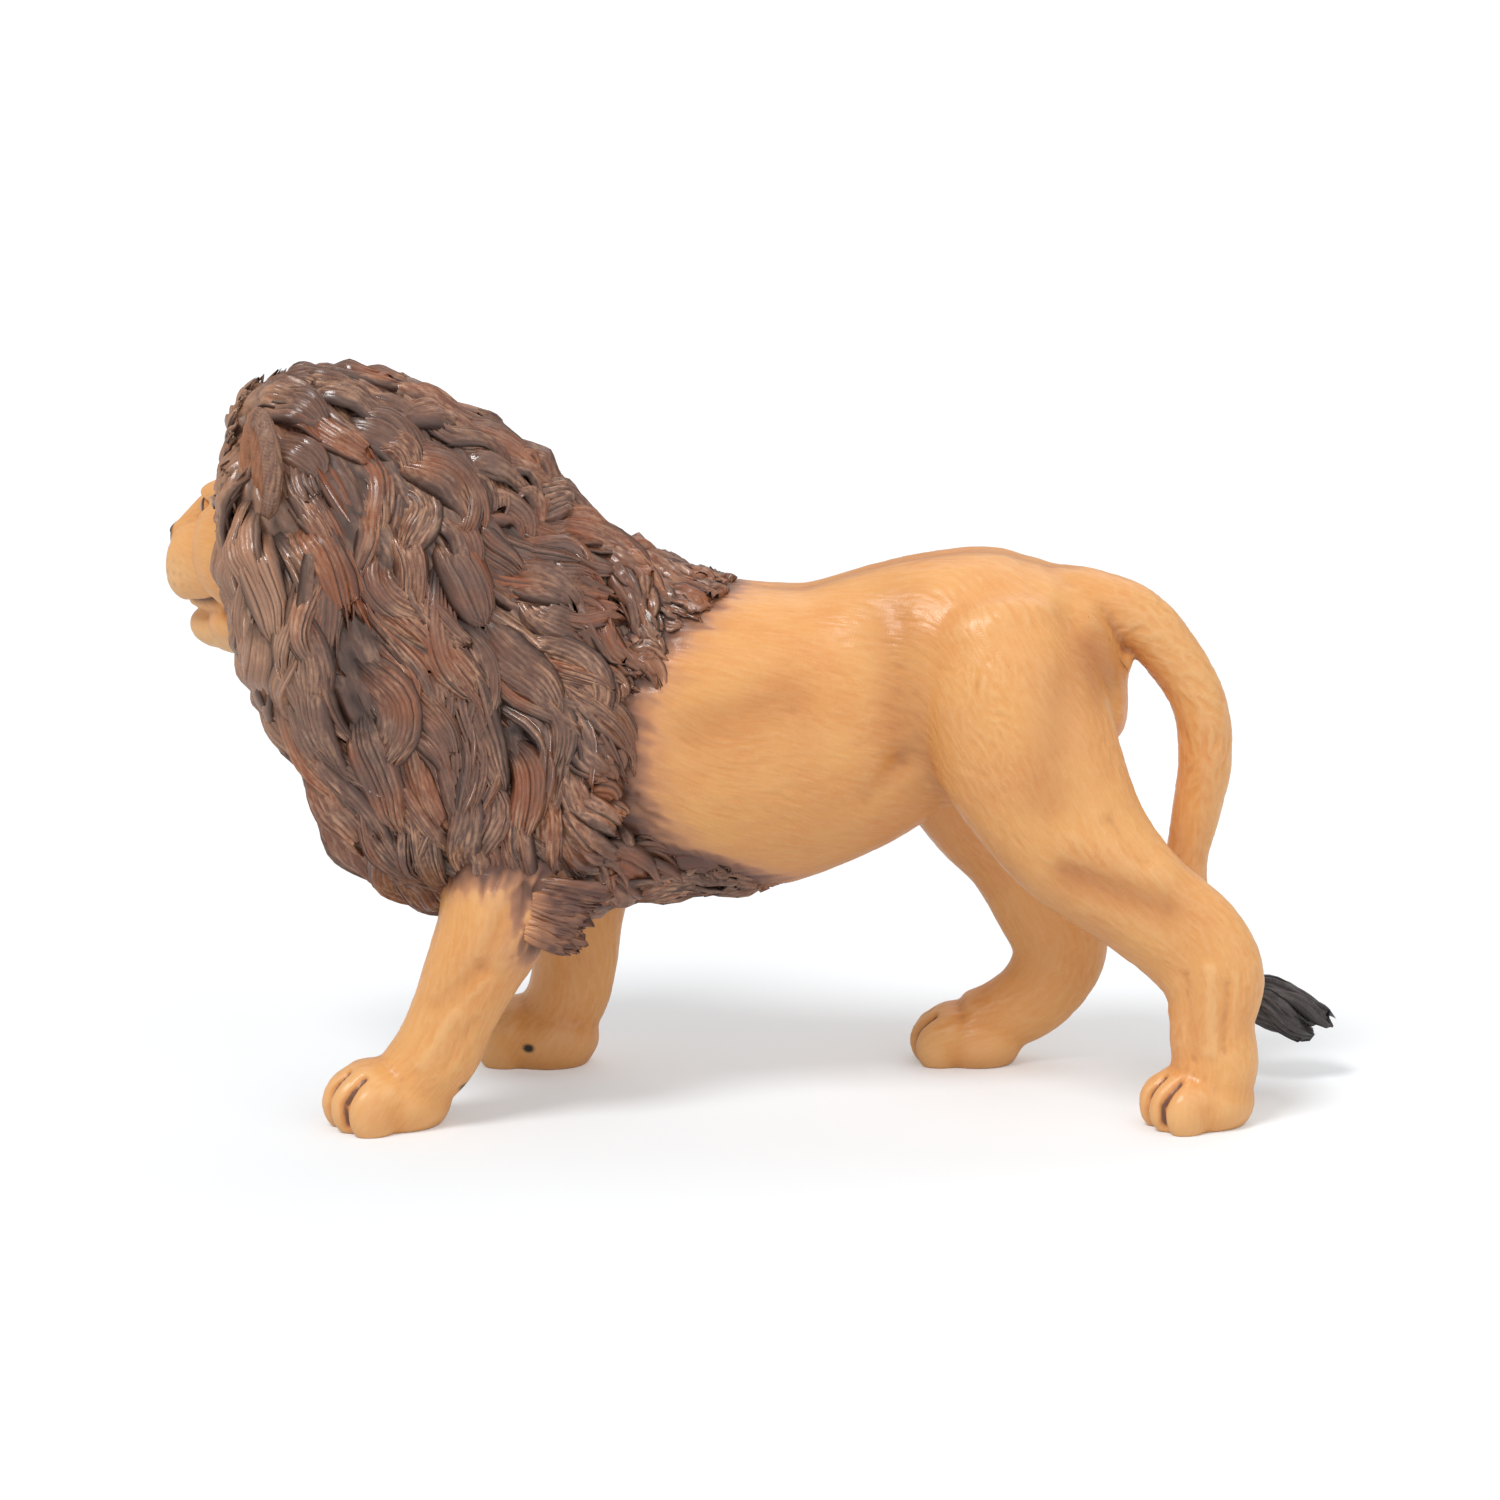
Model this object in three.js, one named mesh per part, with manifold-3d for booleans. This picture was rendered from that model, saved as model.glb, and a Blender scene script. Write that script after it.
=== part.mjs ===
// Toy lion in a walking stance, cast in soft vinyl as nine mouldings that plug together.
// Millimetres, +Z up. The lion walks towards -X, its left side faces -Y, its paws stand on Z = 0.
import * as THREE from "three";
import { mergeVertices } from "three/addons/utils/BufferGeometryUtils.js";
import Module from "manifold-3d";

const wasm = await Module();
wasm.setup();

// Body
const bodyLength = 60; // withers to rump, along X
const backHeight = 68; // top of the croup above the floor
const bodyDepth = 37; // back to breastbone behind the mane
const bodyWidth = 30; // across the ribs
const stanceWidth = 29; // between the middles of the left and right paws
const neckReach = 42; // withers to the middle of the skull, along X
const neckDepth = 30;
const neckWidth = 24;

// Head, in its own frame: forward, left, up from the middle of the skull
const headLength = 32; // back of the skull to the nose
const headWidth = 23;
const headHeight = 27;
const headTurn = 30; // degrees towards the lion's right
const earTurn = 60; // degrees from straight ahead to the side that the ear faces
const earTip = 11; // degrees that the ear leans forward
const earHeight = 15;
const earWidth = 7.4;
const earThickness = 3.8;

// Mane
const maneLength = 62; // face opening to its rear edge
const maneHeight = 60; // crown to the hem on the breast
const maneWidth = 43;
const maneCrown = 90; // hair on top of the head above the floor
const lockLength = 21;
const lockWidth = 8.2;
const lockThickness = 3.6;
const lockSpacing = 19.3;

// Legs
const forelegDepth = 15; // front to back at the elbow
const forelegWidth = 12;
const forelegReach = 22; // how far the left fore paw stands ahead of its shoulder
const hindlegDepth = 24; // front to back through the thigh
const hindlegWidth = 17;
const hindlegReach = 26; // how far the left hock stands behind the hip
const pawLength = 14.8;
const pawWidth = 12.6;
const pawHeight = 8.6;
const toeWidth = 4.2;
const hindPawShare = 0.9; // size of a hind paw against a fore paw
const elbowTuftLength = 8;

// Tail
const tailDiameter = 7.4; // just behind its root
const tailReach = 15; // how far it bows out behind the rump
const tuftLength = 12.5;
const tuftDiameter = 6.2;

// Plugs and clearances
const plugDiameter = 4.6;
const plugLength = 6;
const clearance = 0.3; // between two mouldings that touch
const overrun = 2; // extra length of a cutting shape past the face it cuts

const up = new THREE.Vector3(0, 0, 1);
const acrossBody = new THREE.Vector3(0, 1, 0);
const vector = (x, y, z) => new THREE.Vector3(x, y, z);
const radians = THREE.MathUtils.degToRad;

// Turns a closed three.js shape into a solid that can be joined and cut.
function solidOf(shape) {
  const bare = new THREE.BufferGeometry();
  bare.setAttribute("position", shape.getAttribute("position"));
  bare.setIndex(shape.index);
  const merged = mergeVertices(bare);
  return new wasm.Manifold(
    new wasm.Mesh({
      numProp: 3,
      vertProperties: merged.attributes.position.array,
      triVerts: new Uint32Array(merged.index.array),
    }),
  );
}

const joined = (solids) => solids.reduce((whole, solid) => whole.add(solid));
const cutBy = (solid, cutters) => cutters.reduce((rest, cutter) => rest.subtract(cutter), solid);

// The largest body of a solid, without the slivers that a cut can leave.
function mainBody(solid) {
  return solid.decompose().reduce((best, body) => (body.volume() > best.volume() ? body : best));
}

// A named mesh from a solid.
function meshOf(name, solid, material) {
  const { vertProperties, triVerts } = mainBody(solid).getMesh();
  const shape = new THREE.BufferGeometry();
  shape.setAttribute("position", new THREE.BufferAttribute(vertProperties, 3));
  shape.setIndex(new THREE.BufferAttribute(triVerts, 1));
  shape.computeVertexNormals();
  const mesh = new THREE.Mesh(shape, material);
  mesh.name = name;
  return mesh;
}

// Skins a row of rings of equal count and closes both ends with a fan of triangles.
function loft(rings) {
  const sides = rings[0].length;
  const middleOf = (ring) => ring.reduce((sum, p) => sum.add(p), vector(0, 0, 0)).divideScalar(sides);
  const points = [...rings.flat(), middleOf(rings[0]), middleOf(rings.at(-1))];
  const startFan = rings.length * sides;
  const index = [];
  for (let k = 0; k < sides; k++) {
    const next = (k + 1) % sides;
    for (let r = 0; r + 1 < rings.length; r++) {
      const a = r * sides + k;
      const b = r * sides + next;
      index.push(a, b, b + sides, a, b + sides, a + sides);
    }
    const last = (rings.length - 1) * sides;
    index.push(startFan, next, k, startFan + 1, last + k, last + next);
  }
  const shape = new THREE.BufferGeometry().setFromPoints(points);
  shape.setIndex(index);
  const solid = solidOf(shape);
  if (solid.volume() > 0) return solid;
  shape.setIndex(index.reverse());
  return solidOf(shape);
}

// One oval section. A positive lean narrows its upper half, a negative one its lower half.
function section(middle, upward, sideways, halfDepth, halfWidth, sides, lean = 0) {
  return Array.from({ length: sides }, (_, k) => {
    const turn = (2 * Math.PI * k) / sides;
    const rise = Math.cos(turn);
    return middle
      .clone()
      .addScaledVector(upward, halfDepth * rise)
      .addScaledVector(sideways, halfWidth * Math.sin(turn) * (1 - lean * rise));
  });
}

const domeShares = [
  [0.86, 0.5],
  [0.5, 0.87],
  [0.16, 1],
]; // size and reach of each ring of a rounded end, as shares of the section and of its bulge

// A limb follows stations {at, depth, width, lean}; both sizes are half sizes.
class Limb {
  constructor(stations) {
    this.path = new THREE.CatmullRomCurve3(stations.map((s) => s.at));
    this.sizes = new THREE.CatmullRomCurve3(stations.map((s) => vector(s.depth, s.width, 0)));
    this.lean = stations[0].lean ?? 0;
  }

  frame(share) {
    const tangent = this.path.getTangent(share);
    const sideways = acrossBody.clone().addScaledVector(tangent, -acrossBody.dot(tangent)).normalize();
    return { at: this.path.getPoint(share), tangent, sideways, upward: sideways.clone().cross(tangent) };
  }

  ring(share, sides, grow = 0, shift = 0, scale = 1) {
    const { at, tangent, sideways, upward } = this.frame(share);
    const size = this.sizes.getPoint(share);
    const middle = at.addScaledVector(tangent, shift);
    const halfDepth = size.x * scale + grow;
    const halfWidth = size.y * scale + grow;
    return section(middle, upward, sideways, halfDepth, halfWidth, sides, this.lean);
  }

  // The stretch between two shares of the path. A rounded end bulges by its own share of the depth.
  solid(from, to, steps, sides, { grow = 0, roundStart = 0, roundEnd = 0, startShift = 0 } = {}) {
    const rings = [];
    const dome = (share, bulge) => {
      const depth = this.sizes.getPoint(share).x;
      return domeShares.map(([scale, reach]) => {
        return this.ring(share, sides, grow, depth * bulge * reach, scale);
      });
    };
    if (roundStart) rings.push(...dome(from, -roundStart).reverse());
    for (let i = 0; i <= steps; i++) {
      const share = from + ((to - from) * i) / steps;
      rings.push(this.ring(share, sides, grow, i ? 0 : startShift));
    }
    if (roundEnd) rings.push(...dome(to, roundEnd));
    return loft(rings);
  }
}

// A round bar between two points.
function bar(from, to, radius, sides) {
  const length = from.distanceTo(to);
  const shape = new THREE.CylinderGeometry(radius, radius, length, sides);
  const turn = new THREE.Quaternion().setFromUnitVectors(acrossBody, to.clone().sub(from).normalize());
  shape.applyQuaternion(turn);
  shape.translate(...from.clone().add(to).divideScalar(2).toArray());
  return solidOf(shape);
}

const eggRowShare = 0.6; // rows of facets for each facet round the egg

// An egg with three half sizes, turned about Z and tipped about its own left axis.
function egg(middle, halfSizes, turn = 0, tip = 0, sides = 10) {
  const shape = new THREE.SphereGeometry(1, sides, Math.round(sides * eggRowShare));
  shape.scale(...halfSizes.toArray());
  shape.rotateY(tip);
  shape.rotateZ(turn);
  shape.translate(...middle.toArray());
  return solidOf(shape);
}

// A locating plug that stands out of a seam, and the socket that takes it.
const plug = ({ at, tangent }) =>
  bar(
    at.clone().addScaledVector(tangent, -plugLength),
    at.clone().addScaledVector(tangent, overrun),
    plugDiameter / 2,
    10,
  );
const socket = ({ at, tangent }) =>
  bar(
    at.clone().addScaledVector(tangent, -plugLength - clearance),
    at.clone().addScaledVector(tangent, overrun),
    plugDiameter / 2 + clearance,
    10,
  );

// Body: each row is X, middle height, half depth and half width,
// as shares of the body's length, the back's height, the body's depth and the body's width.
const bodyShares = [
  [-0.55, 0.67, 0.3, 0.3],
  [-0.42, 0.655, 0.46, 0.44],
  [-0.22, 0.652, 0.545, 0.51],
  [0, 0.652, 0.515, 0.5],
  [0.17, 0.685, 0.46, 0.455],
  [0.32, 0.742, 0.415, 0.42],
  [0.46, 0.756, 0.425, 0.425],
  [0.56, 0.762, 0.402, 0.42],
  [0.63, 0.775, 0.362, 0.38],
  [0.685, 0.787, 0.28, 0.3],
];
const bodyLean = 0.1; // the spine is narrower than the belly
const bodyPoint = (x, y, z) => vector(x * bodyLength, (y * bodyWidth) / 2, z * backHeight);
const body = new Limb(
  bodyShares.map(([x, z, depth, width]) => ({
    at: bodyPoint(x, 0, z),
    depth: depth * bodyDepth,
    width: width * bodyWidth,
    lean: bodyLean,
  })),
);

// Neck, from between the shoulders up to the skull
const headMiddle = vector(-neckReach - bodyLength * 0.165, bodyWidth * -0.083, backHeight * 1.041);
const neckShares = [
  [0, 0.44, 0.5],
  [0.35, 0.5, 0.5],
  [0.7, 0.48, 0.48],
  [1, 0.38, 0.42],
]; // way from the shoulders to the skull, half depth and half width
const neckRoot = bodyPoint(-0.3, 0, 0.755);
const neck = new Limb(
  neckShares.map(([way, depth, width]) => ({
    at: neckRoot.clone().lerp(headMiddle, way),
    depth: depth * neckDepth,
    width: width * neckWidth,
  })),
);

// Each row of a leg is X, Y, Z, half depth and half width:
// X is a share of the reach, Y of half the stance, Z of the back's height, sizes of the leg's own.
function legStations(shares, root, reach, side, depth, width) {
  return shares.map(([x, y, z, halfDepth, halfWidth]) => ({
    at: vector(root + x * reach, (side * y * stanceWidth) / 2, z * backHeight),
    depth: halfDepth * depth,
    width: halfWidth * width,
  }));
}

const shoulderX = bodyLength * -0.38;
const leftForelegShares = [
  [0.06, 0.72, 0.6, 0.6, 0.42],
  [-0.22, 0.84, 0.48, 0.54, 0.5],
  [-0.36, 0.93, 0.345, 0.45, 0.49],
  [-0.45, 0.98, 0.285, 0.4, 0.44],
  [-0.565, 1, 0.2, 0.35, 0.4],
  [-0.66, 1, 0.13, 0.35, 0.4],
  [-0.8, 1, 0.075, 0.32, 0.4],
];
const rightForelegShares = [
  [0.16, 0.6, 0.6, 0.62, 0.42],
  [0.14, 0.74, 0.47, 0.56, 0.5],
  [0.09, 0.88, 0.345, 0.44, 0.49],
  [0.07, 0.98, 0.265, 0.38, 0.44],
  [0.055, 1, 0.18, 0.35, 0.4],
  [0.005, 1, 0.115, 0.34, 0.4],
  [-0.1, 1, 0.07, 0.3, 0.4],
];
const forelegSeam = 0.18; // share of the foreleg's path that belongs to the body

const hipX = bodyLength * 0.49;
const leftHindlegShares = [
  [-0.04, 0.45, 0.85, 0.4, 0.44],
  [0.04, 0.56, 0.75, 0.475, 0.53],
  [0.15, 0.68, 0.64, 0.455, 0.51],
  [0.37, 0.83, 0.5, 0.37, 0.42],
  [0.67, 0.93, 0.393, 0.285, 0.32],
  [0.895, 0.98, 0.316, 0.28, 0.26],
  [0.995, 1, 0.25, 0.245, 0.25],
  [1.01, 1, 0.175, 0.215, 0.235],
  [1.0, 1, 0.11, 0.22, 0.25],
  [0.98, 1, 0.06, 0.2, 0.26],
];
const rightHindlegShares = [
  [-0.04, 0.45, 0.85, 0.4, 0.44],
  [-0.08, 0.58, 0.74, 0.5, 0.53],
  [-0.1, 0.72, 0.61, 0.48, 0.5],
  [0.0, 0.86, 0.48, 0.36, 0.4],
  [0.14, 0.95, 0.39, 0.29, 0.31],
  [0.25, 1, 0.3, 0.265, 0.26],
  [0.34, 1, 0.215, 0.25, 0.25],
  [0.24, 1, 0.13, 0.215, 0.235],
  [0.07, 1, 0.085, 0.19, 0.25],
  [-0.06, 1, 0.07, 0.17, 0.26],
];
const hindlegSeam = 0.3; // share of the hind leg's path that belongs to the body

const left = -1;
const right = 1;
const leftForeleg = new Limb(
  legStations(leftForelegShares, shoulderX, forelegReach, left, forelegDepth, forelegWidth),
);
const rightForeleg = new Limb(
  legStations(rightForelegShares, shoulderX, forelegReach, right, forelegDepth, forelegWidth),
);
const leftHindleg = new Limb(
  legStations(leftHindlegShares, hipX, hindlegReach, left, hindlegDepth, hindlegWidth),
);
const rightHindleg = new Limb(
  legStations(rightHindlegShares, hipX, hindlegReach, right, hindlegDepth, hindlegWidth),
);

// Paw: four toes in front of a rounded heel, cut flat by the floor.
const toeShares = [
  [0.25, -0.36, 0.3],
  [0.335, -0.125, 0.34],
  [0.335, 0.125, 0.34],
  [0.25, 0.36, 0.3],
]; // forward of the paw's middle, across it, and middle height, of length, width and height
const toeHalfShares = [0.215, 0.44]; // half length and half height of a toe
const heelShares = { place: [-0.08, 0, 0.36], half: [0.44, 0.46, 0.62] };
const knuckleShares = { place: [0.12, 0, 0.48], half: [0.3, 0.45, 0.46] };
function paw(middle, turn, size) {
  const sized = ([forward, across, height]) =>
    vector(forward * pawLength, across * pawWidth, height * pawHeight).multiplyScalar(size);
  const placed = ([forward, across, height]) =>
    sized([-forward, across, height]).applyAxisAngle(up, turn).add(middle);
  const toeHalf = sized([toeHalfShares[0], 0, toeHalfShares[1]]).setY((toeWidth / 2) * size);
  const toes = toeShares.map((place) => egg(placed(place), toeHalf, turn, 0, 8));
  const heel = egg(placed(heelShares.place), sized(heelShares.half), turn, 0, 10);
  const knuckles = egg(placed(knuckleShares.place), sized(knuckleShares.half), turn, 0, 8);
  return joined([heel, knuckles, ...toes]);
}

const floorSize = bodyLength * 4;
const floor = solidOf(
  new THREE.BoxGeometry(floorSize, floorSize, pawHeight).translate(0, 0, -pawHeight / 2),
);

// Elbow tuft: short locks that stand out behind the elbow.
const elbowTuftShares = [
  [0.1, -0.7],
  [-0.05, 0],
  [-0.22, 0.7],
]; // rise of each lock's tip, and its place across the elbow
const elbowShare = 0.36; // of the foreleg's path
function elbowTuft(limb, side) {
  const { at, sideways } = limb.frame(elbowShare);
  const depth = limb.sizes.getPoint(elbowShare).x;
  return joined(
    elbowTuftShares.map(([rise, across]) => {
      const root = at.clone().addScaledVector(sideways, (across * lockWidth) / 3);
      const reach = depth + elbowTuftLength * 0.42;
      const tip = root.clone().add(vector(reach, 0, rise * elbowTuftLength));
      return lock([root, root.clone().lerp(tip, 0.5), tip], vector(0, side, 0), lockWidth, lockThickness);
    }),
  );
}

// A lock of hair: rings along its points, wide near the root and pointed at the tip.
const lockShares = [
  [0.32, 0.55],
  [0.5, 1],
  [0.36, 0.85],
]; // half width of each ring, of the lock's width, and its share of the full thickness
const lockTip = 0.06;
function lock(points, outward, width, thickness, sides = 4) {
  const curve = new THREE.CatmullRomCurve3(points);
  const rings = lockShares.map(([halfWidth, fullness], i) => {
    const halfThickness = (fullness * thickness) / 2;
    return lockRing(curve, i / lockShares.length, outward, halfWidth * width, halfThickness, sides);
  });
  rings.push(lockRing(curve, 1, outward, lockTip * width, lockTip * thickness, sides));
  return loft(rings);
}
function lockRing(curve, share, outward, halfWidth, halfThickness, sides) {
  const tangent = curve.getTangent(share);
  const sideways = outward.clone().cross(tangent).normalize();
  const lifted = tangent.clone().cross(sideways);
  return section(curve.getPoint(share), lifted, sideways, halfThickness, halfWidth, sides);
}

// Tail: a bow behind the rump, then down and back behind the left hock.
const tailShares = [
  [-0.75, 0, 0.9, 0.66],
  [-0.42, 0, 0.896, 0.64],
  [-0.08, 0, 0.886, 0.59],
  [0.28, 0, 0.86, 0.53],
  [0.59, 0.02, 0.787, 0.48],
  [0.8, 0.05, 0.7, 0.455],
  [0.85, 0.09, 0.605, 0.45],
  [0.78, 0.14, 0.495, 0.4],
  [0.72, 0.18, 0.41, 0.345],
  [0.78, 0.22, 0.32, 0.32],
  [0.95, 0.27, 0.24, 0.31],
  [1.19, 0.32, 0.167, 0.31],
]; // X, Y, Z and half thickness, of the tail's reach, half the stance, back height and diameter
const rumpX = bodyLength * 0.7;
const tailPoint = ([x, y, z]) => {
  return vector(rumpX + x * tailReach, (y * stanceWidth) / 2, z * backHeight);
};
const tail = new Limb(
  tailShares.map((row) => ({
    at: tailPoint(row),
    depth: row[3] * tailDiameter,
    width: row[3] * tailDiameter,
  })),
);
const tailSides = 10;
const tailSeam = 0.17; // share of the tail's path that belongs to the rump
const tailSolid = (grow, startShift = 0) => tail.solid(tailSeam, 1, 18, tailSides, { grow, startShift });

// Tail tuft: locks that run back from the end of the tail round a core.
const tuftShares = [
  [0, 0.62, 0.9],
  [0.16, 0.36, 1],
  [0.34, 0.52, 0.84],
  [0.5, 0.44, 0.97],
  [0.66, 0.5, 0.86],
  [0.84, 0.4, 0.94],
]; // turn round the core, spread at the tip and length of each lock
const tuftCoreShares = [
  [0, 0.42],
  [0.2, 0.5],
  [0.55, 0.46],
  [0.8, 0.26],
]; // way along the tuft and half thickness
const tuftDrop = 0.35; // how much of the tail's fall the tuft keeps
function tailTuft() {
  const { at, tangent, sideways, upward } = tail.frame(1);
  const start = at.clone().addScaledVector(tangent, clearance);
  const along = tangent.clone().setZ(tangent.z * tuftDrop).normalize();
  const core = loft(
    tuftCoreShares.map(([way, half]) =>
      section(
        start.clone().addScaledVector(along, way * tuftLength),
        upward,
        sideways,
        half * tuftDiameter,
        half * tuftDiameter,
        tailSides,
      ),
    ),
  );
  const locks = tuftShares.map(([turnShare, spread, length]) => {
    const turn = turnShare * 2 * Math.PI;
    const outward = upward.clone().multiplyScalar(Math.cos(turn)).addScaledVector(sideways, Math.sin(turn));
    const point = (way, out) =>
      start
        .clone()
        .addScaledVector(along, way * tuftLength)
        .addScaledVector(outward, (out * tuftDiameter) / 2);
    const points = [point(0.1, 0.3), point(0.45, 0.72), point(0.8 * length, 0.75), point(length, spread)];
    return lock(points, outward, tuftDiameter * 0.6, tuftDiameter * 0.35);
  });
  return joined([core, ...locks]);
}

// Head, in the frame forward, left, up from the middle of the skull.
const headFrame = new THREE.Matrix4()
  .makeTranslation(headMiddle)
  .multiply(new THREE.Matrix4().makeRotationZ(Math.PI - radians(headTurn)));
const headPoint = (forward, leftward, upward) =>
  vector(forward * headLength, leftward * headWidth, upward * headHeight);
function headEgg(place, halfSizes, tip = 0, sides = 12, grow = 0) {
  const middle = headPoint(...place);
  const sizes = headPoint(...halfSizes).addScalar(grow);
  return egg(middle, sizes, 0, tip, sides);
}
const muzzleShares = [
  [0.1, -0.1, 0.36, 0.4],
  [0.3, -0.18, 0.29, 0.34],
  [0.46, -0.215, 0.235, 0.28],
  [0.55, -0.23, 0.18, 0.235],
  [0.588, -0.235, 0.125, 0.16],
]; // forward, up, half depth and half width of each section
const bridgeShares = [
  [0.16, 0.21, 0.16, 0.24],
  [0.335, 0.095, 0.12, 0.16],
  [0.47, -0.01, 0.1, 0.135],
  [0.58, -0.1, 0.06, 0.11],
]; // the same for the bridge of the nose
const muzzleLean = 0.12;
function headLoft(shares, sides, lean, grow = 0) {
  return loft(
    shares.map(([forward, rise, halfDepth, halfWidth]) =>
      section(
        headPoint(forward, 0, rise),
        up,
        acrossBody,
        halfDepth * headHeight + grow,
        halfWidth * headWidth + grow,
        sides,
        lean,
      ),
    ),
  );
}
const skullShares = { place: [0, 0, 0.03], half: [0.34, 0.47, 0.42] };
function headCore(grow) {
  const skull = headEgg(skullShares.place, skullShares.half, 0, 12, grow);
  const muzzle = headLoft(muzzleShares, 12, muzzleLean, grow);
  const jaw = headEgg([0.17, 0, -0.45], [0.28, 0.29, 0.16], radians(8), 10, grow);
  const cheeks = [-1, 1].map((side) =>
    headEgg([0.16, side * 0.25, -0.12], [0.24, 0.24, 0.28], 0, 8, grow),
  );
  return joined([skull, muzzle, jaw, ...cheeks]);
}
function headSolid() {
  const pairs = [-1, 1].flatMap((side) => [
    headEgg([0.46, side * 0.13, -0.27], [0.125, 0.14, 0.135], 0, 9), // whisker pad
    headEgg([0.285, side * 0.21, 0.14], [0.1, 0.13, 0.075], radians(20), 8), // brow
    headEgg([0.345, side * 0.2, 0.06], [0.055, 0.07, 0.06], 0, 8), // eyeball
  ]);
  const bridge = headLoft(bridgeShares, 10, 0);
  const nose = headEgg([0.575, 0, -0.115], [0.05, 0.13, 0.068], 0, 8);
  const chin = joined([
    headEgg([0.43, 0, -0.52], [0.13, 0.165, 0.1], radians(-6), 10),
    headEgg([0.3, 0, -0.54], [0.2, 0.16, 0.1], 0, 10),
  ]);
  const mouth = headEgg([0.52, 0, -0.435], [0.2, 0.27, 0.022], radians(6), 10);
  const nostrils = [-1, 1].map((side) =>
    headEgg([0.62, side * 0.065, -0.13], [0.03, 0.03, 0.02], 0, 6),
  );
  return cutBy(joined([headCore(0), bridge, nose, chin, ...pairs]), [mouth, ...nostrils]);
}

// Ear: a cupped leaf, leaning out and forward.
const earPlaceShares = [0, 0.5, 0.35];
const earBowlShare = 0.78; // of the ear's own size
const earBowlLift = 0.45; // of its thickness
function ear(side) {
  const [forward, leftward, upward] = earPlaceShares;
  const middle = headPoint(forward, side * leftward, upward);
  const sizes = vector(earThickness, earWidth, earHeight).divideScalar(2);
  const turn = radians(side * earTurn);
  const tip = radians(earTip);
  const outward = vector(Math.cos(turn), Math.sin(turn), 0);
  const leaf = egg(middle, sizes, turn, tip, 12);
  const bowlMiddle = middle.clone().addScaledVector(outward, earThickness * earBowlLift);
  return leaf.subtract(egg(bowlMiddle, sizes.multiplyScalar(earBowlShare), turn, tip, 12));
}

// Mane: rings that lean along the neck. Each row is the middle's X and height, the half height,
// the half width, how far its foot leads its crown, the turn in degrees, the shift across,
// and the lean, by which the ring is wider at its foot than at its crown.
const maneShares = [
  [-0.915, 0.785, 0.29, 0.325, -0.02, 20, -0.02, -0.05],
  [-0.87, 0.765, 0.345, 0.445, 0.015, 17, -0.05, -0.05],
  [-0.79, 0.72, 0.39, 0.485, 0.045, 10, -0.04, 0.02],
  [-0.69, 0.655, 0.445, 0.485, 0.075, 5, -0.02, 0.12],
  [-0.585, 0.602, 0.47, 0.47, 0.085, 0, 0, 0.22],
  [-0.47, 0.567, 0.432, 0.45, 0.055, 0, 0, 0.24],
  [-0.34, 0.537, 0.375, 0.405, 0.028, 0, 0, 0.2],
  [-0.2, 0.522, 0.332, 0.345, 0.01, 0, 0, 0.1],
  [-0.065, 0.508, 0.3, 0.3, 0, 0, 0, 0],
  [0.04, 0.5, 0.26, 0.25, 0, 0, 0, 0],
];
const maneRings = maneShares.map(([x, z, halfHeight, halfWidth, lead, turn, shift, lean]) => {
  const yaw = radians(turn);
  return {
    middle: vector(x * maneLength, shift * maneWidth, z * maneCrown),
    rise: vector(lead * maneLength, 0, halfHeight * maneHeight),
    leftward: vector(-Math.sin(yaw), -Math.cos(yaw), 0).multiplyScalar(halfWidth * maneWidth),
    lean: vector(lean, 0, 0),
  };
});
const maneCurves = ["middle", "rise", "leftward", "lean"].map(
  (key) => new THREE.CatmullRomCurve3(maneRings.map((ring) => ring[key])),
);

const maneFullness = 0.86; // under one, the sections are fuller than an oval

// A point of the mane's skin: way from face to rear, angle from the crown down, side, and lift.
function maneSkin(way, angle, side, lift = 0) {
  const [middle, rise, leftward, lean] = maneCurves.map((curve) => curve.getPoint(way));
  const outward = rise
    .clone()
    .normalize()
    .multiplyScalar(Math.cos(angle))
    .addScaledVector(leftward.clone().normalize(), side * Math.sin(angle));
  const rising = Math.cos(angle);
  const spread = Math.sign(Math.sin(angle)) * Math.pow(Math.abs(Math.sin(angle)), maneFullness);
  return middle
    .addScaledVector(rise, rising)
    .addScaledVector(leftward, side * spread * (1 - lean.x * rising))
    .addScaledVector(outward, lift);
}

const maneSink = lockThickness * 0.3; // the base lies under its hair
function maneBase() {
  const steps = 12;
  const sides = 16;
  const rings = [];
  for (let i = 0; i <= steps; i++) {
    const way = i / steps;
    rings.push(
      Array.from({ length: sides }, (_, k) => maneSkin(way, (2 * Math.PI * k) / sides, 1, -maneSink)),
    );
  }
  return loft(rings);
}

// Where hair of the mane runs: back along the crown, down over the sides, back under the breast.
const hairOnCrown = vector(1, 0, -0.25);
const hairOnSide = vector(0.32, 0, -1);
const hairOnBreast = vector(0.8, 0, -0.6);
function hairHeading(angle) {
  const side = Math.sin(angle);
  const flat = Math.cos(angle) > 0 ? hairOnCrown : hairOnBreast;
  return flat.clone().lerp(hairOnSide, Math.pow(side, 0.7));
}

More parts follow.
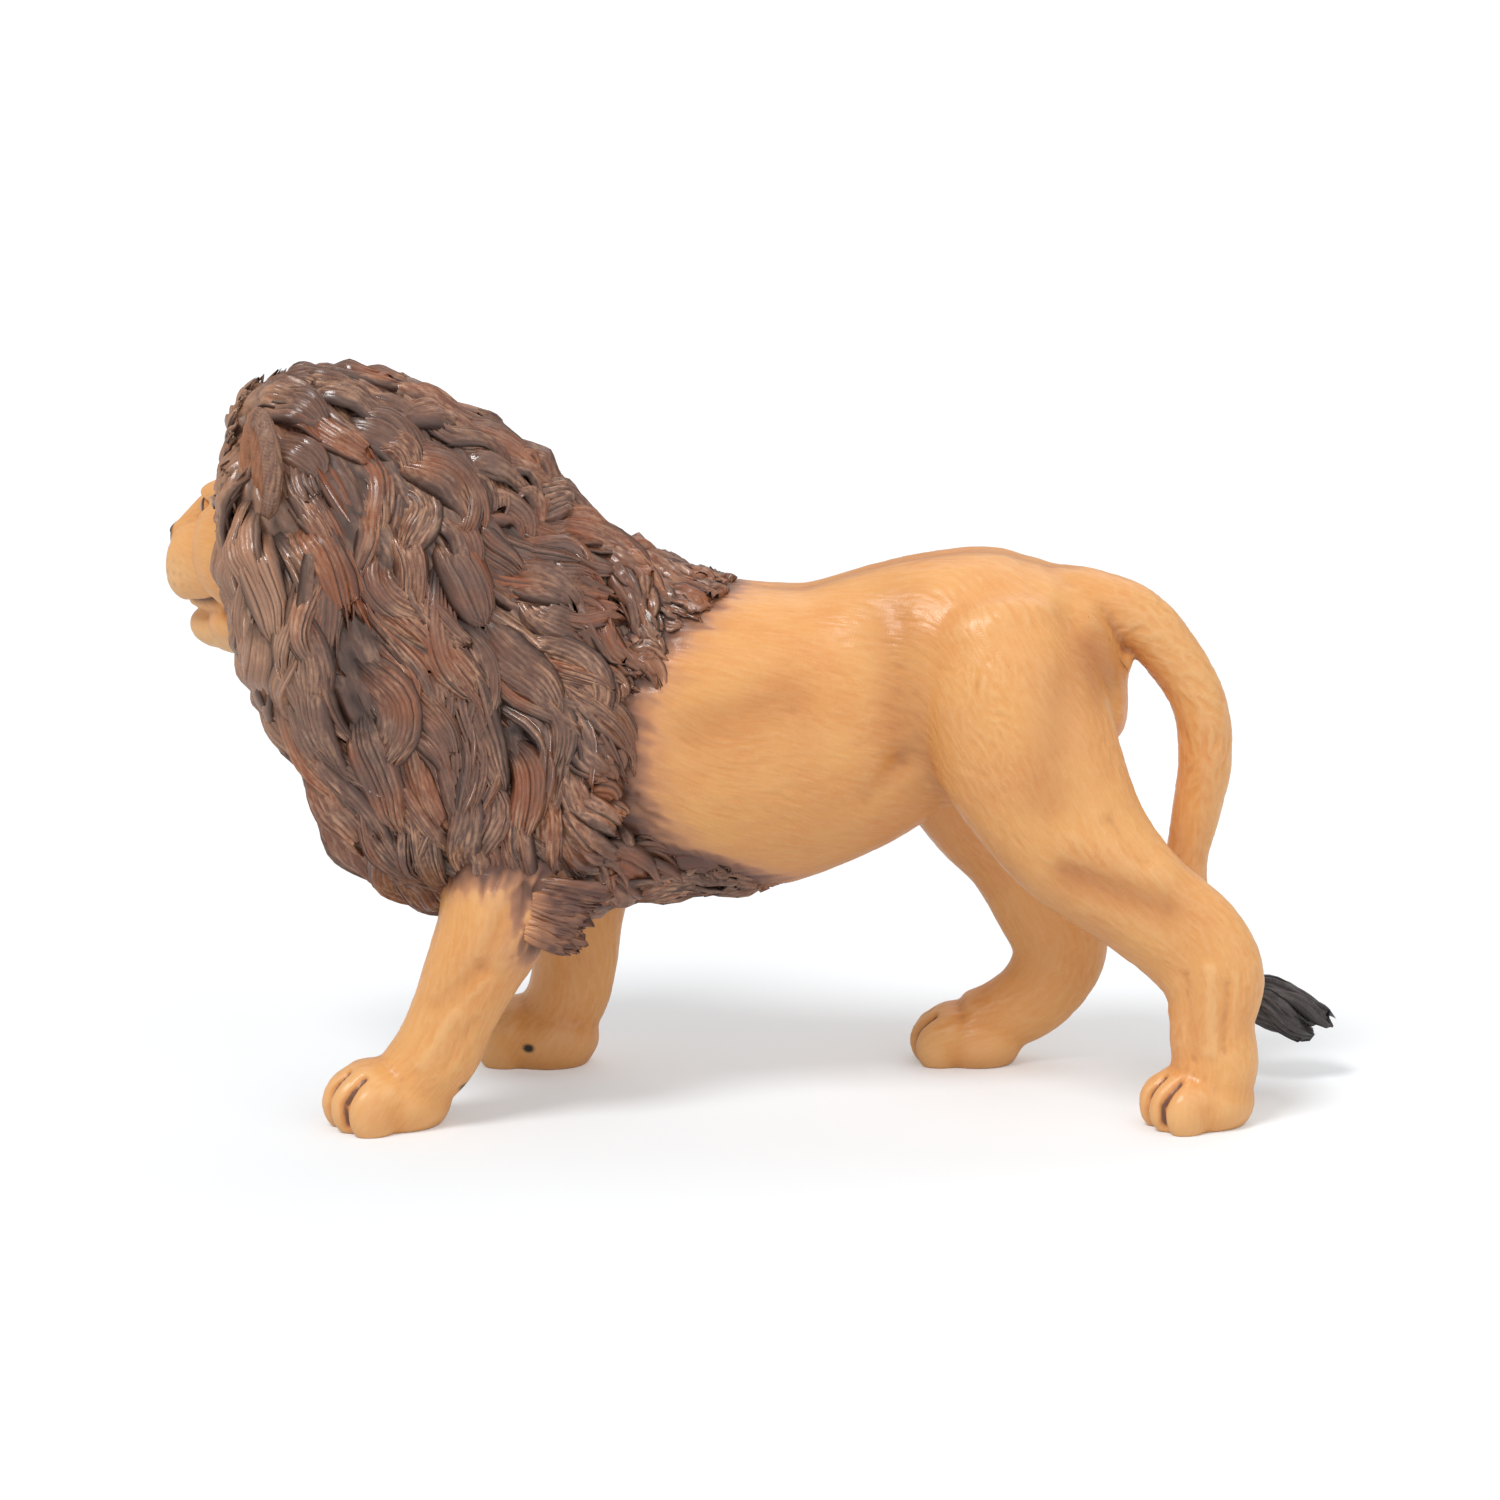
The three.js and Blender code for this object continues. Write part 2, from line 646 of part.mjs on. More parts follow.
// Walks over the skin from a root for a length, following the heading of the hair.
function hairPath(way, angle, side, length, sway) {
  const steps = 4;
  const points = [];
  for (let i = 0; i <= steps; i++) {
    const along = i / steps;
    const lift = lockThickness * THREE.MathUtils.lerp(rootLiftShare, tipLiftShare, along);
    points.push(maneSkin(way, angle, side, lift));
    const here = maneSkin(way, angle, side);
    const byWay = maneSkin(way + nudge, angle, side).sub(here).divideScalar(nudge);
    const byAngle = maneSkin(way, angle + nudge, side).sub(here).divideScalar(nudge);
    const heading = hairHeading(angle).normalize().multiplyScalar(length / steps);
    heading.addScaledVector(hairOnCrown, sway * Math.cos(along * Math.PI * 1.5) * (length / steps));
    const a = byWay.dot(byWay);
    const b = byWay.dot(byAngle);
    const c = byAngle.dot(byAngle);
    const p = heading.dot(byWay);
    const q = heading.dot(byAngle);
    const det = a * c - b * b;
    way = THREE.MathUtils.clamp(way + (p * c - q * b) / det, 0, maneEnd);
    angle = THREE.MathUtils.clamp(angle + (q * a - p * b) / det, 0, Math.PI);
  }
  return points;
}
const maneEnd = 0.96; // share of the mane's way where the last hair ends
const rootLiftShare = -0.25; // of the lock's thickness, over the skin
const tipLiftShare = 0.1;
const nudge = 0.001; // small step that gives the slope of the skin

const lockRows = [0.11, 0.24, 0.37, 0.5, 0.62, 0.74]; // way of each row of roots
const lockCrownShare = 0.05;
const lockHemShare = 0.86;
const lockSway = 0.35; // sideways bend of a lock against its own run
const lockVariety = 0.18; // how much locks differ in size
const unlike = (row, k, seed) => Math.sin(row * (1 + seed) + k * (2 + seed)); // differs by lock
function maneLocks() {
  const locks = [];
  lockRows.forEach((way, row) => {
    const quarterChord = maneSkin(way, Math.PI / 2, 1).distanceTo(maneSkin(way, 0, 1));
    const halfRound = quarterChord * Math.PI * Math.SQRT1_2;
    const count = Math.max(3, Math.round(halfRound / lockSpacing));
    for (const side of [-1, 1]) {
      for (let k = 0; k < count; k++) {
        const share = (k + (row % 2 ? 0.75 : 0.25)) / count;
        const angle = Math.PI * THREE.MathUtils.lerp(lockCrownShare, lockHemShare, share);
        const sway = lockSway * unlike(row, k, 0.7);
        const size = 1 + lockVariety * unlike(row, k, 0.3);
        const points = hairPath(way, angle, side, lockLength * size, sway);
        const outward = maneSkin(way, angle, side, 1).sub(maneSkin(way, angle, side));
        locks.push(lock(points, outward, lockWidth * size, lockThickness));
      }
    }
  });
  return locks;
}

// Mouldings
const bodySteps = 14;
const bodySides = 14;
const legSides = 12;
const headInPlace = (solid) => solid.transform(headFrame.toArray());

const foreleg = (limb) => limb.solid(forelegSeam, 1, 8, legSides, { startShift: clearance });
const hindleg = (limb) => limb.solid(hindlegSeam, 1, 11, legSides, { startShift: clearance });
const neckSolid = (grow) => neck.solid(0, 0.92, 4, 12, { grow });

function torsoSolid(grow) {
  const shoulders = [leftForeleg, rightForeleg].map((limb) =>
    limb.solid(0, forelegSeam, 3, legSides, { grow, roundStart: 0.5 }),
  );
  const haunches = [leftHindleg, rightHindleg].map((limb) =>
    limb.solid(0, hindlegSeam, 5, legSides, { grow, roundStart: 0.55 }),
  );
  const barrel = body.solid(0, 1, bodySteps, bodySides, { grow, roundStart: 0.5, roundEnd: 0.35 });
  const tailRoot = tail.solid(0, tailSeam, 3, tailSides, { grow, roundStart: 0.5 });
  return joined([barrel, neckSolid(grow), tailRoot, ...shoulders, ...haunches]);
}

// Two small rounds under the root of the tail.
function underTail() {
  const size = tailDiameter * 0.37;
  return [-1, 1].map((side) =>
    egg(
      vector(rumpX + tailReach * 0.04, side * size * 0.6, backHeight * 0.745),
      vector(size * 0.9, size * 0.75, size),
    ),
  );
}

const headPlug = {
  at: headMiddle.clone().lerp(neckRoot, 0.36),
  tangent: headMiddle.clone().sub(neckRoot).normalize(),
};
const tailPlug = tail.frame(tailSeam);

const torso = cutBy(joined([torsoSolid(0), ...underTail()]), [
  headInPlace(headCore(clearance)),
  tailSolid(clearance),
  ...[leftForeleg, rightForeleg].flatMap((limb) => [
    limb.solid(forelegSeam, 1, 8, legSides, { grow: clearance }),
    socket(limb.frame(forelegSeam)),
  ]),
  ...[leftHindleg, rightHindleg].flatMap((limb) => [
    limb.solid(hindlegSeam, 1, 11, legSides, { grow: clearance }),
    socket(limb.frame(hindlegSeam)),
  ]),
  socket(headPlug),
  socket(tailPlug),
]);
const head = joined([headInPlace(headSolid()), plug(headPlug)]);

function forelegMoulding(limb, middle, turn, side) {
  const leg = joined([
    foreleg(limb),
    paw(middle, turn, 1),
    elbowTuft(limb, side),
    dewclaw(limb, side),
    plug(limb.frame(forelegSeam)),
  ]);
  return leg.subtract(floor);
}
const dewclawShare = 0.9; // of the foreleg's path
function dewclaw(limb, side) {
  const { at, sideways, upward } = limb.frame(dewclawShare);
  const size = limb.sizes.getPoint(dewclawShare);
  const place = at
    .addScaledVector(sideways, -side * size.y * 0.9)
    .addScaledVector(upward, -size.x * 0.2);
  return egg(place, vector(toeWidth, toeWidth * 0.6, toeWidth * 0.8).multiplyScalar(0.5), 0, 0, 8);
}
function hindlegMoulding(limb, middle, turn) {
  const foot = paw(middle, turn, hindPawShare);
  return joined([hindleg(limb), foot, plug(limb.frame(hindlegSeam))]).subtract(floor);
}

// Each paw stands at the end of its leg's reach and is turned a little.
const pawAt = (x, side) => vector(x, (side * stanceWidth) / 2, 0);
const leftForePaw = pawAt(shoulderX - forelegReach * 0.915, left);
const rightForePaw = pawAt(shoulderX - forelegReach * 0.15, right);
const leftHindPaw = pawAt(hipX + hindlegReach * 0.93, left);
const rightHindPaw = pawAt(hipX - hindlegReach * 0.09, right);
const forelegs = [
  forelegMoulding(leftForeleg, leftForePaw, radians(24), left),
  forelegMoulding(rightForeleg, rightForePaw, radians(-12), right),
];
const hindlegs = [
  hindlegMoulding(leftHindleg, leftHindPaw, radians(22)),
  hindlegMoulding(rightHindleg, rightHindPaw, radians(-10)),
];

const ears = [-1, 1].map((side) => headInPlace(ear(side)));
const hair = joined([maneBase(), ...maneLocks(), ...ears]);
const mane = cutBy(hair, [
  torsoSolid(clearance),
  headInPlace(headCore(clearance)),
  headInPlace(headSolid()).add(plug(headPlug)),
  ...[leftForeleg, rightForeleg].map((limb) => limb.solid(0, 1, 12, legSides, { grow: clearance })),
  ...forelegs,
]);

// Finishes
const tanVinyl = new THREE.MeshStandardMaterial({ color: 0xd9a066, roughness: 0.6, metalness: 0 });
const brownVinyl = new THREE.MeshStandardMaterial({ color: 0x5f4136, roughness: 0.5, metalness: 0 });
const blackVinyl = new THREE.MeshStandardMaterial({ color: 0x2f2a29, roughness: 0.55, metalness: 0 });

const lion = new THREE.Group();
lion.add(
  meshOf("torso", torso, tanVinyl),
  meshOf("head", head, tanVinyl),
  meshOf("mane", mane, brownVinyl),
  meshOf("left_foreleg", forelegs[0], tanVinyl),
  meshOf("right_foreleg", forelegs[1], tanVinyl),
  meshOf("left_hind_leg", hindlegs[0], tanVinyl),
  meshOf("right_hind_leg", hindlegs[1], tanVinyl),
  meshOf("tail", tailSolid(0, clearance).add(plug(tailPlug)), tanVinyl),
  meshOf("tail_tuft", tailTuft(), blackVinyl),
);

// The middle of the standing lion goes over the origin.
const { x, y } = new THREE.Box3().setFromObject(lion).getCenter(vector(0, 0, 0));
lion.children.forEach((mesh) => mesh.geometry.translate(-x, -y, 0));

export default lion;
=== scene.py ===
# A walking toy lion cast in soft vinyl: sculpted fur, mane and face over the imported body.
# Lengths are millimetres until a mesh is written; +Z is up and the lion walks towards -X.
import itertools
import math

import bmesh
import bpy
import numpy as np
from mathutils import Matrix, Vector
from mathutils.bvhtree import BVHTree


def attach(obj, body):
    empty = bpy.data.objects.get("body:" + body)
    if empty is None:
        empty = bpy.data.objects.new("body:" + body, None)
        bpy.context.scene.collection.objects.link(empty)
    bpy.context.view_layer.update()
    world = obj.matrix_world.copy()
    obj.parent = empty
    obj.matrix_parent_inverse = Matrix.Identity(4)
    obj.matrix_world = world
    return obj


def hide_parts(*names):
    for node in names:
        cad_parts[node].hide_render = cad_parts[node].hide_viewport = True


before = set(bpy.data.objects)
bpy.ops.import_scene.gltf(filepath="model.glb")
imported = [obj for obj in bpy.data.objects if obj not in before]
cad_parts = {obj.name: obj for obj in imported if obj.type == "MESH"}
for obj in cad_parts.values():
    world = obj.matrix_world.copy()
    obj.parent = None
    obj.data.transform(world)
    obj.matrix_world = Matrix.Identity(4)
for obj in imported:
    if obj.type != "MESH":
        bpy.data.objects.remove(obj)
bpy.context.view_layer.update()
mm = 0.001
coarse = 1.0  # larger voxels while trying things
both = (-1, 1)  # the two sides of the lion

figure = {
    "bodyLength": 60.0,
    "backHeight": 68.0,
    "bodyDepth": 37.0,
    "bodyWidth": 30.0,
    "stance": 29.0,  # between the middles of the left and right paws
    "neckReach": 42.0,
    "neckDepth": 30.0,
    "neckWidth": 24.0,
    "shift": (-0.97, 0.85, 0.0),  # from the shoulders' frame to the middle of the whole box
    "seed": 11,
}
chance = np.random.default_rng(figure["seed"])
noiseCells = 64
noiseTable = chance.random((noiseCells,) * 3) * 2 - 1


def unit(rows):
    return rows / np.maximum(np.linalg.norm(rows, axis=-1, keepdims=True), 1e-9)


def smooth(low, high, value):
    t = np.clip((value - low) / (high - low), 0, 1)
    return t * t * (3 - 2 * t)


def mix(a, b, share):
    return a + (b - a) * share


# a curve through the points, evaluated at shares of its way
def spline(points):
    p = np.array(points, float)
    p = np.vstack([2 * p[0] - p[1], p, 2 * p[-1] - p[-2]])
    gap = np.linalg.norm(np.diff(p, axis=0), axis=1) ** 0.5
    middle = np.where(gap[1:-1] < 1e-4, 1.0, gap[1:-1])
    before = np.where(gap[:-2] < 1e-4, middle, gap[:-2])[:, None]
    after = np.where(gap[2:] < 1e-4, middle, gap[2:])[:, None]
    middle = middle[:, None]
    a, b, c, d = p[:-3], p[1:-2], p[2:-1], p[3:]
    leave = ((b - a) / before - (c - a) / (before + middle) + (c - b) / middle) * middle
    arrive = ((c - b) / middle - (d - b) / (middle + after) + (d - c) / after) * middle
    square = 3 * (c - b) - 2 * leave - arrive
    cube = 2 * (b - c) + leave + arrive

    def at(share, slope=False):
        s = np.clip(np.atleast_1d(share), 0, 1) * len(b)
        i = np.minimum(s.astype(int), len(b) - 1)
        w = (s - i)[:, None]
        if slope:
            return leave[i] + 2 * square[i] * w + 3 * cube[i] * w * w
        return b[i] + w * (leave[i] + w * (square[i] + w * cube[i]))

    return at


# a limb: its middle line and its half depth and half width along it
def limb(places, sizes):
    return {"path": spline(places), "size": spline(sizes)}


def framesOf(part, share):
    tangent = unit(part["path"](share, slope=True))
    sideways = unit(np.array([0.0, 1.0, 0.0]) - tangent * tangent[:, 1:2])
    return part["path"](share), tangent, sideways, np.cross(sideways, tangent)


# smooth noise between -1 and 1, and the same drawn out along a heading
def noiseAt(points, cell):
    q = points / cell
    whole = np.floor(q).astype(np.int64)
    part = q - whole
    part = part * part * (3 - 2 * part)
    total = np.zeros(len(points))
    for corner in itertools.product((0, 1), repeat=3):
        near = np.where(corner, part, 1 - part).prod(axis=1)
        i, j, k = ((whole[:, axis] + corner[axis]) % noiseCells for axis in range(3))
        total += near * noiseTable[i, j, k]
    return total


def strands(points, heading, cell, reach, steps=9):
    total = sum(noiseAt(points + heading * s, cell) for s in np.linspace(-reach, reach, steps))
    return total / total.std()


# mesh in and out
def readFrom(rows, key, width, kind=np.float32):
    out = np.empty(len(rows) * width, kind)
    rows.foreach_get(key, out)
    return out.reshape(-1, width)


def placeOf(obj):
    return readFrom(obj.data.vertices, "co", 3).astype(float) / mm


def normalsOf(obj):
    return readFrom(obj.data.vertex_normals, "vector", 3).astype(float)


def movePoints(obj, points):
    obj.data.vertices.foreach_set("co", (points * mm).astype(np.float32).ravel())
    obj.data.update()


def paint(obj, **fields):
    for name, values in fields.items():
        kind, key = ("FLOAT", "value") if values.ndim == 1 else ("FLOAT_VECTOR", "vector")
        attribute = obj.data.attributes.new(name, kind, "POINT")
        attribute.data.foreach_set(key, values.astype(np.float32).ravel())


# how deep a point lies under its surroundings, in millimetres
def cavityOf(obj, rounds):
    a, b = readFrom(obj.data.edges, "vertices", 2, np.int32).T
    start = placeOf(obj)
    count = len(start)
    sharers = np.bincount(a, minlength=count) + np.bincount(b, minlength=count)
    eased = start
    for _ in range(rounds):
        total = [np.bincount(a, row[b], count) + np.bincount(b, row[a], count) for row in eased.T]
        eased = 0.4 * eased + 0.6 * np.stack(total, 1) / np.maximum(sharers, 1)[:, None]
    return ((eased - start) * normalsOf(obj)).sum(1)


def meshFrom(name, bm):
    mesh = bpy.data.meshes.new(name)
    bm.to_mesh(mesh)
    bm.free()
    return mesh


def objectFrom(name, bm):
    obj = bpy.data.objects.new(name, meshFrom(name, bm))
    bpy.context.scene.collection.objects.link(obj)
    return obj


def applied(obj, *modifiers):
    for kind, settings in modifiers:
        modifier = obj.modifiers.new(kind.title(), kind)
        for key, value in settings.items():
            setattr(modifier, key, value)
    graph = bpy.context.evaluated_depsgraph_get()
    mesh = bpy.data.meshes.new_from_object(obj.evaluated_get(graph))
    obj.modifiers.clear()
    old = obj.data
    obj.data = mesh
    bpy.data.meshes.remove(old)


def remeshed(name, bm, voxel, rounds):
    obj = objectFrom(name, bm)
    applied(
        obj,
        ("REMESH", {"mode": "VOXEL", "voxel_size": voxel * coarse * mm, "adaptivity": 0}),
        ("SMOOTH", {"factor": 0.5, "iterations": rounds}),
    )
    obj.data.shade_smooth()
    return obj


# a closed tube of radius 1 and length 1 round the Z axis
def unitTube(sides, rings):
    bm = bmesh.new()
    bmesh.ops.create_cone(
        bm, cap_ends=True, cap_tris=True, segments=sides, radius1=1, radius2=1, depth=1
    )
    upright = [e for e in bm.edges if abs(e.verts[0].co.z - e.verts[1].co.z) > 0.5]
    bmesh.ops.subdivide_edges(bm, edges=upright, cuts=rings, use_grid_fill=True)
    return bm


# a unit tube whose points are placed by their way, turn and radius
def addTube(bm, place, sides, rings):
    part = unitTube(sides, rings)
    co = np.array([v.co for v in part.verts])
    placed = place(co[:, 2] + 0.5, np.arctan2(co[:, 0], co[:, 1]), np.hypot(co[:, 0], co[:, 1]))
    for vert, point in zip(part.verts, placed * mm):
        vert.co = point
    bmesh.ops.recalc_face_normals(part, faces=part.faces)
    mesh = meshFrom("part", part)
    bm.from_mesh(mesh)
    bpy.data.meshes.remove(mesh)


# the stretch of a limb between two shares, with a rounded end where a dome is given
def alongLimb(part, start, end, domes=(0.0, 0.0), lean=0.0):
    endWay = 0.14  # of the tube, for each end
    narrowing = 0.96  # of the way to a point, at the tip of a dome

    def place(z, turn, radius):
        way = z * (1 + 2 * endWay) - endWay
        inside = np.clip(way, 0, 1)
        past = (way - inside) / endWay
        dome = np.where(past < 0, *domes)
        scale = np.where(dome > 0, (1 - narrowing * past**2) ** 0.5, 1)
        share = start + (end - start) * inside
        at, tangent, sideways, upward = framesOf(part, share)
        size = part["size"](share)
        depth = size[:, 0] * scale * radius
        width = size[:, 1] * scale * radius * (1 - lean * np.cos(turn))
        return (
            at
            + tangent * (dome * past * size[:, 0])[:, None]
            + upward * (depth * np.cos(turn))[:, None]
            + sideways * (width * np.sin(turn))[:, None]
        )

    return place


def addEgg(bm, middle, halfSizes, turn=None, subdivisions=3):
    matrix = Matrix.Translation(Vector(middle) * mm)
    if turn is not None:
        matrix = matrix @ turn
    matrix = matrix @ Matrix.Diagonal((*(Vector(halfSizes) * mm), 1))
    bmesh.ops.create_icosphere(bm, subdivisions=subdivisions, radius=1, matrix=matrix)


# how near each point is to the stretch between two places, 1 on it and 0 far off
def nearTo(points, start, end, radius):
    a, b = np.array(start, float), np.array(end, float)
    span = b - a
    way = np.clip((points - a) @ span / max(span @ span, 1e-9), 0, 1)
    off = np.linalg.norm(points - a - way[:, None] * span, axis=1)
    return np.exp(-((off / radius) ** 2))


# how far each point is from the nearest of the places
def awayFrom(points, places):
    return np.min([np.linalg.norm(points - place, axis=1) for place in places], axis=0)


# the run turned flat to the surface
def alongSkin(run, normals):
    return unit(run - normals * (run * normals).sum(1, keepdims=True))


# marks drawn on a side of the lion, or with side 0 on both: X and Z of both ends, radius, amount
def sideMarks(points, normals, marks):
    total = np.zeros(len(points))
    for side, rows in marks.items():
        facing = smooth(0.0, 0.5, np.abs(normals[:, 1]))
        if side:
            facing = smooth(0.0, 0.5, normals[:, 1] * side) * smooth(-1, 2, points[:, 1] * side)
        for x0, z0, x1, z1, radius, amount in rows:
            total += amount * facing * nearTo(points[:, [0, 2]], (x0, z0), (x1, z1), radius)
    return total


length, height = figure["bodyLength"], figure["backHeight"]
bodyRows = np.array(
    [
        (-0.55, 0.67, 0.3, 0.3),
        (-0.42, 0.655, 0.46, 0.44),
        (-0.22, 0.652, 0.545, 0.51),
        (0, 0.652, 0.515, 0.5),
        (0.17, 0.685, 0.46, 0.455),
        (0.32, 0.742, 0.415, 0.42),
        (0.46, 0.756, 0.425, 0.425),
        (0.56, 0.762, 0.402, 0.42),
        (0.63, 0.775, 0.362, 0.38),
        (0.685, 0.787, 0.28, 0.3),
    ]
)
body = limb(
    np.stack([bodyRows[:, 0] * length, bodyRows[:, 0] * 0, bodyRows[:, 1] * height], 1),
    bodyRows[:, 2:] * (figure["bodyDepth"], figure["bodyWidth"]),
)
headMiddle = np.array(
    [-figure["neckReach"] - length * 0.165, figure["bodyWidth"] * -0.083, height * 1.041]
)
neckRoot = np.array([-0.3 * length, 0, 0.755 * height])
neckRows = np.array([(0, 0.44, 0.5), (0.35, 0.5, 0.5), (0.7, 0.48, 0.48), (1, 0.38, 0.42)])
neck = limb(
    neckRoot + neckRows[:, :1] * (headMiddle - neckRoot),
    neckRows[:, 1:] * (figure["neckDepth"], figure["neckWidth"]),
)

foreleg = {"root": -0.38, "reach": 22, "depth": 15, "width": 12, "seam": 0.18}
hindLeg = {"root": 0.49, "reach": 26, "depth": 24, "width": 17, "seam": 0.3}
legs = {  # rows: along, out and up from the root, and the half depth and half width
    "left_foreleg": {
        **foreleg,
        "side": -1,
        "paw": -0.915,
        "turn": 24,
        "rows": [
            (0.06, 0.72, 0.6, 0.6, 0.42),
            (-0.22, 0.84, 0.48, 0.54, 0.5),
            (-0.36, 0.93, 0.345, 0.45, 0.49),
            (-0.45, 0.98, 0.285, 0.4, 0.44),
            (-0.565, 1, 0.2, 0.35, 0.4),
            (-0.66, 1, 0.13, 0.35, 0.4),
            (-0.8, 1, 0.075, 0.32, 0.4),
        ],
    },
    "right_foreleg": {
        **foreleg,
        "side": 1,
        "paw": -0.15,
        "turn": -12,
        "rows": [
            (0.16, 0.6, 0.6, 0.62, 0.42),
            (0.14, 0.74, 0.47, 0.56, 0.5),
            (0.09, 0.88, 0.345, 0.44, 0.49),
            (0.07, 0.98, 0.265, 0.38, 0.44),
            (0.055, 1, 0.18, 0.35, 0.4),
            (0.005, 1, 0.115, 0.34, 0.4),
            (-0.1, 1, 0.07, 0.3, 0.4),
        ],
    },
    "left_hind_leg": {
        **hindLeg,
        "side": -1,
        "paw": 0.93,
        "turn": 22,
        "rows": [
            (-0.04, 0.45, 0.85, 0.4, 0.44),
            (0.04, 0.56, 0.75, 0.475, 0.53),
            (0.15, 0.68, 0.64, 0.455, 0.51),
            (0.37, 0.83, 0.5, 0.37, 0.42),
            (0.67, 0.93, 0.393, 0.285, 0.32),
            (0.895, 0.98, 0.322, 0.28, 0.26),
            (0.985, 1, 0.262, 0.265, 0.25),
            (0.98, 1, 0.175, 0.215, 0.235),
            (1.0, 1, 0.11, 0.22, 0.25),
            (0.98, 1, 0.06, 0.2, 0.26),
        ],
    },
    "right_hind_leg": {
        **hindLeg,
        "side": 1,
        "paw": -0.09,
        "turn": -10,
        "rows": [
            (-0.04, 0.45, 0.85, 0.4, 0.44),
            (-0.08, 0.58, 0.74, 0.5, 0.53),
            (-0.1, 0.72, 0.61, 0.48, 0.5),
            (0, 0.86, 0.48, 0.36, 0.4),
            (0.14, 0.95, 0.39, 0.29, 0.31),
            (0.25, 1, 0.3, 0.265, 0.26),
            (0.34, 1, 0.215, 0.25, 0.25),
            (0.24, 1, 0.13, 0.215, 0.235),
            (0.07, 1, 0.085, 0.19, 0.25),
            (-0.06, 1, 0.07, 0.17, 0.26),
        ],
    },
}


# a limb whose rows give along, out and up from the root of the part
def limbFrom(part, rows, sizes):
    along, out, up = rows[:, :3].T
    along = part["root"] * length + along * part["reach"]
    return limb(np.stack([along, part["side"] * out * figure["stance"] / 2, up * height], 1), sizes)


for leg in legs.values():
    rows = np.array(leg["rows"])
    leg["limb"] = limbFrom(leg, rows, rows[:, 3:] * (leg["depth"], leg["width"]))

tailSettings = {
    "side": 1,
    "root": 0.7,
    "reach": 15,
    "diameter": 7.4,
    "rows": [  # as for the legs, with one half thickness
        (-0.75, 0, 0.9, 0.66),
        (-0.42, 0, 0.896, 0.64),
        (-0.08, 0, 0.886, 0.59),
        (0.28, 0, 0.86, 0.53),
        (0.59, 0.02, 0.787, 0.48),
        (0.8, 0.05, 0.7, 0.455),
        (0.85, 0.09, 0.605, 0.45),
        (0.78, 0.14, 0.495, 0.4),
        (0.72, 0.18, 0.41, 0.345),
        (0.78, 0.22, 0.32, 0.32),
        (0.95, 0.27, 0.24, 0.31),
        (1.19, 0.32, 0.167, 0.31),
    ],
}
rows = np.array(tailSettings["rows"])
tail = limbFrom(tailSettings, rows, rows[:, [3, 3]] * tailSettings["diameter"])

# the paws: forward, across and up are shares of the paw's length, width and height
pawShape = {
    "length": 14.8,
    "width": 12.6,
    "height": 8.6,
    "hindShare": 0.9,  # the hind paws against the front ones
    "toes": [(0.25, -0.335, 0.3), (0.335, -0.12, 0.34), (0.335, 0.12, 0.34), (0.25, 0.335, 0.3)],
    "toeHalf": (0.215, 0.155, 0.44),
    "heel": ((-0.06, 0, 0.36), (0.46, 0.485, 0.61)),
    "knuckles": ((0.14, 0, 0.48), (0.32, 0.48, 0.47)),
    "groove": 0.6,  # depth of the cleft between two toes
    "cleftRadius": 0.5,
    "clefts": (-0.245, 0, 0.245),  # across
    "cleftLine": ((0.3, 0.8), (0.48, 0.42), (0.46, 0.1)),  # forward and up, from the top down
    "middleLead": 0.06,  # the cleft between the middle toes lies further forward
}
pawSize = np.array([pawShape["length"], pawShape["width"], pawShape["height"]])


def pawTurn(leg):
    return Matrix.Rotation(math.radians(leg["turn"]), 4, "Z")


def sizeOf(leg):
    return pawSize * (1 if leg["root"] < 0 else pawShape["hindShare"])


def pawPoint(leg, shares):
    along = leg["root"] * length + leg["paw"] * leg["reach"]
    middle = np.array([along, leg["side"] * figure["stance"] / 2, 0])
    return middle + np.array(pawTurn(leg) @ Vector(np.array(shares) * sizeOf(leg) * (-1, 1, 1)))


def addPaw(bm, leg):
    for place, half in [pawShape["heel"], pawShape["knuckles"]]:
        addEgg(bm, pawPoint(leg, place), half * sizeOf(leg), pawTurn(leg))
    for toe in pawShape["toes"]:
        addEgg(bm, pawPoint(leg, toe), pawShape["toeHalf"] * sizeOf(leg), pawTurn(leg))


skin = {
    "voxel": 0.34,
    "softRounds": 70,
    "softLevels": 20,
    "underMane": 0.83,  # share of the faces that is kept, with fewer where the mane hides them
    "hiddenFrom": 7,  # the mane's end
    "hiddenAbove": 35,
    # of the noise that is carved in or painted: size of its cells and how far it is drawn out
    "fur": (0.62, 1.3),
    "wrinkles": (0.7, 1.1),
    "hair": (1.2, 2.4),
    "streaks": (0.7, 1.6),
    "furDepth": 0.04,
    "wrinkleDepth": 0.07,
    "hairDepth": 0.22,
}
rounds = {  # the two under the tail
    "radius": 0.37,  # of the tail's diameter
    "behind": 1.5,  # the root of the tail
    "across": 0.6,  # of the radius, as the half sizes
    "half": (0.85, 0.75, 0.85),
    "up": 0.782,
}
trunk = bmesh.new()
addTube(trunk, alongLimb(body, 0, 1, domes=(0.5, 0.35), lean=0.1), sides=32, rings=40)
addTube(trunk, alongLimb(neck, 0, 0.92), sides=32, rings=12)
for leg in legs.values():
    addTube(trunk, alongLimb(leg["limb"], 0, 1, domes=(0.5, 0.4)), sides=28, rings=50)
    addPaw(trunk, leg)
addTube(trunk, alongLimb(tail, 0.1, 1), sides=20, rings=90)
for side in both:
    radius = tailSettings["diameter"] * rounds["radius"]
    along = tailSettings["root"] * length + rounds["behind"]
    place = (along, side * radius * rounds["across"], height * rounds["up"])
    addEgg(trunk, place, radius * np.array(rounds["half"]))
skinned = remeshed("skin", trunk, skin["voxel"], rounds=2)
print("body skin", len(skinned.data.vertices))

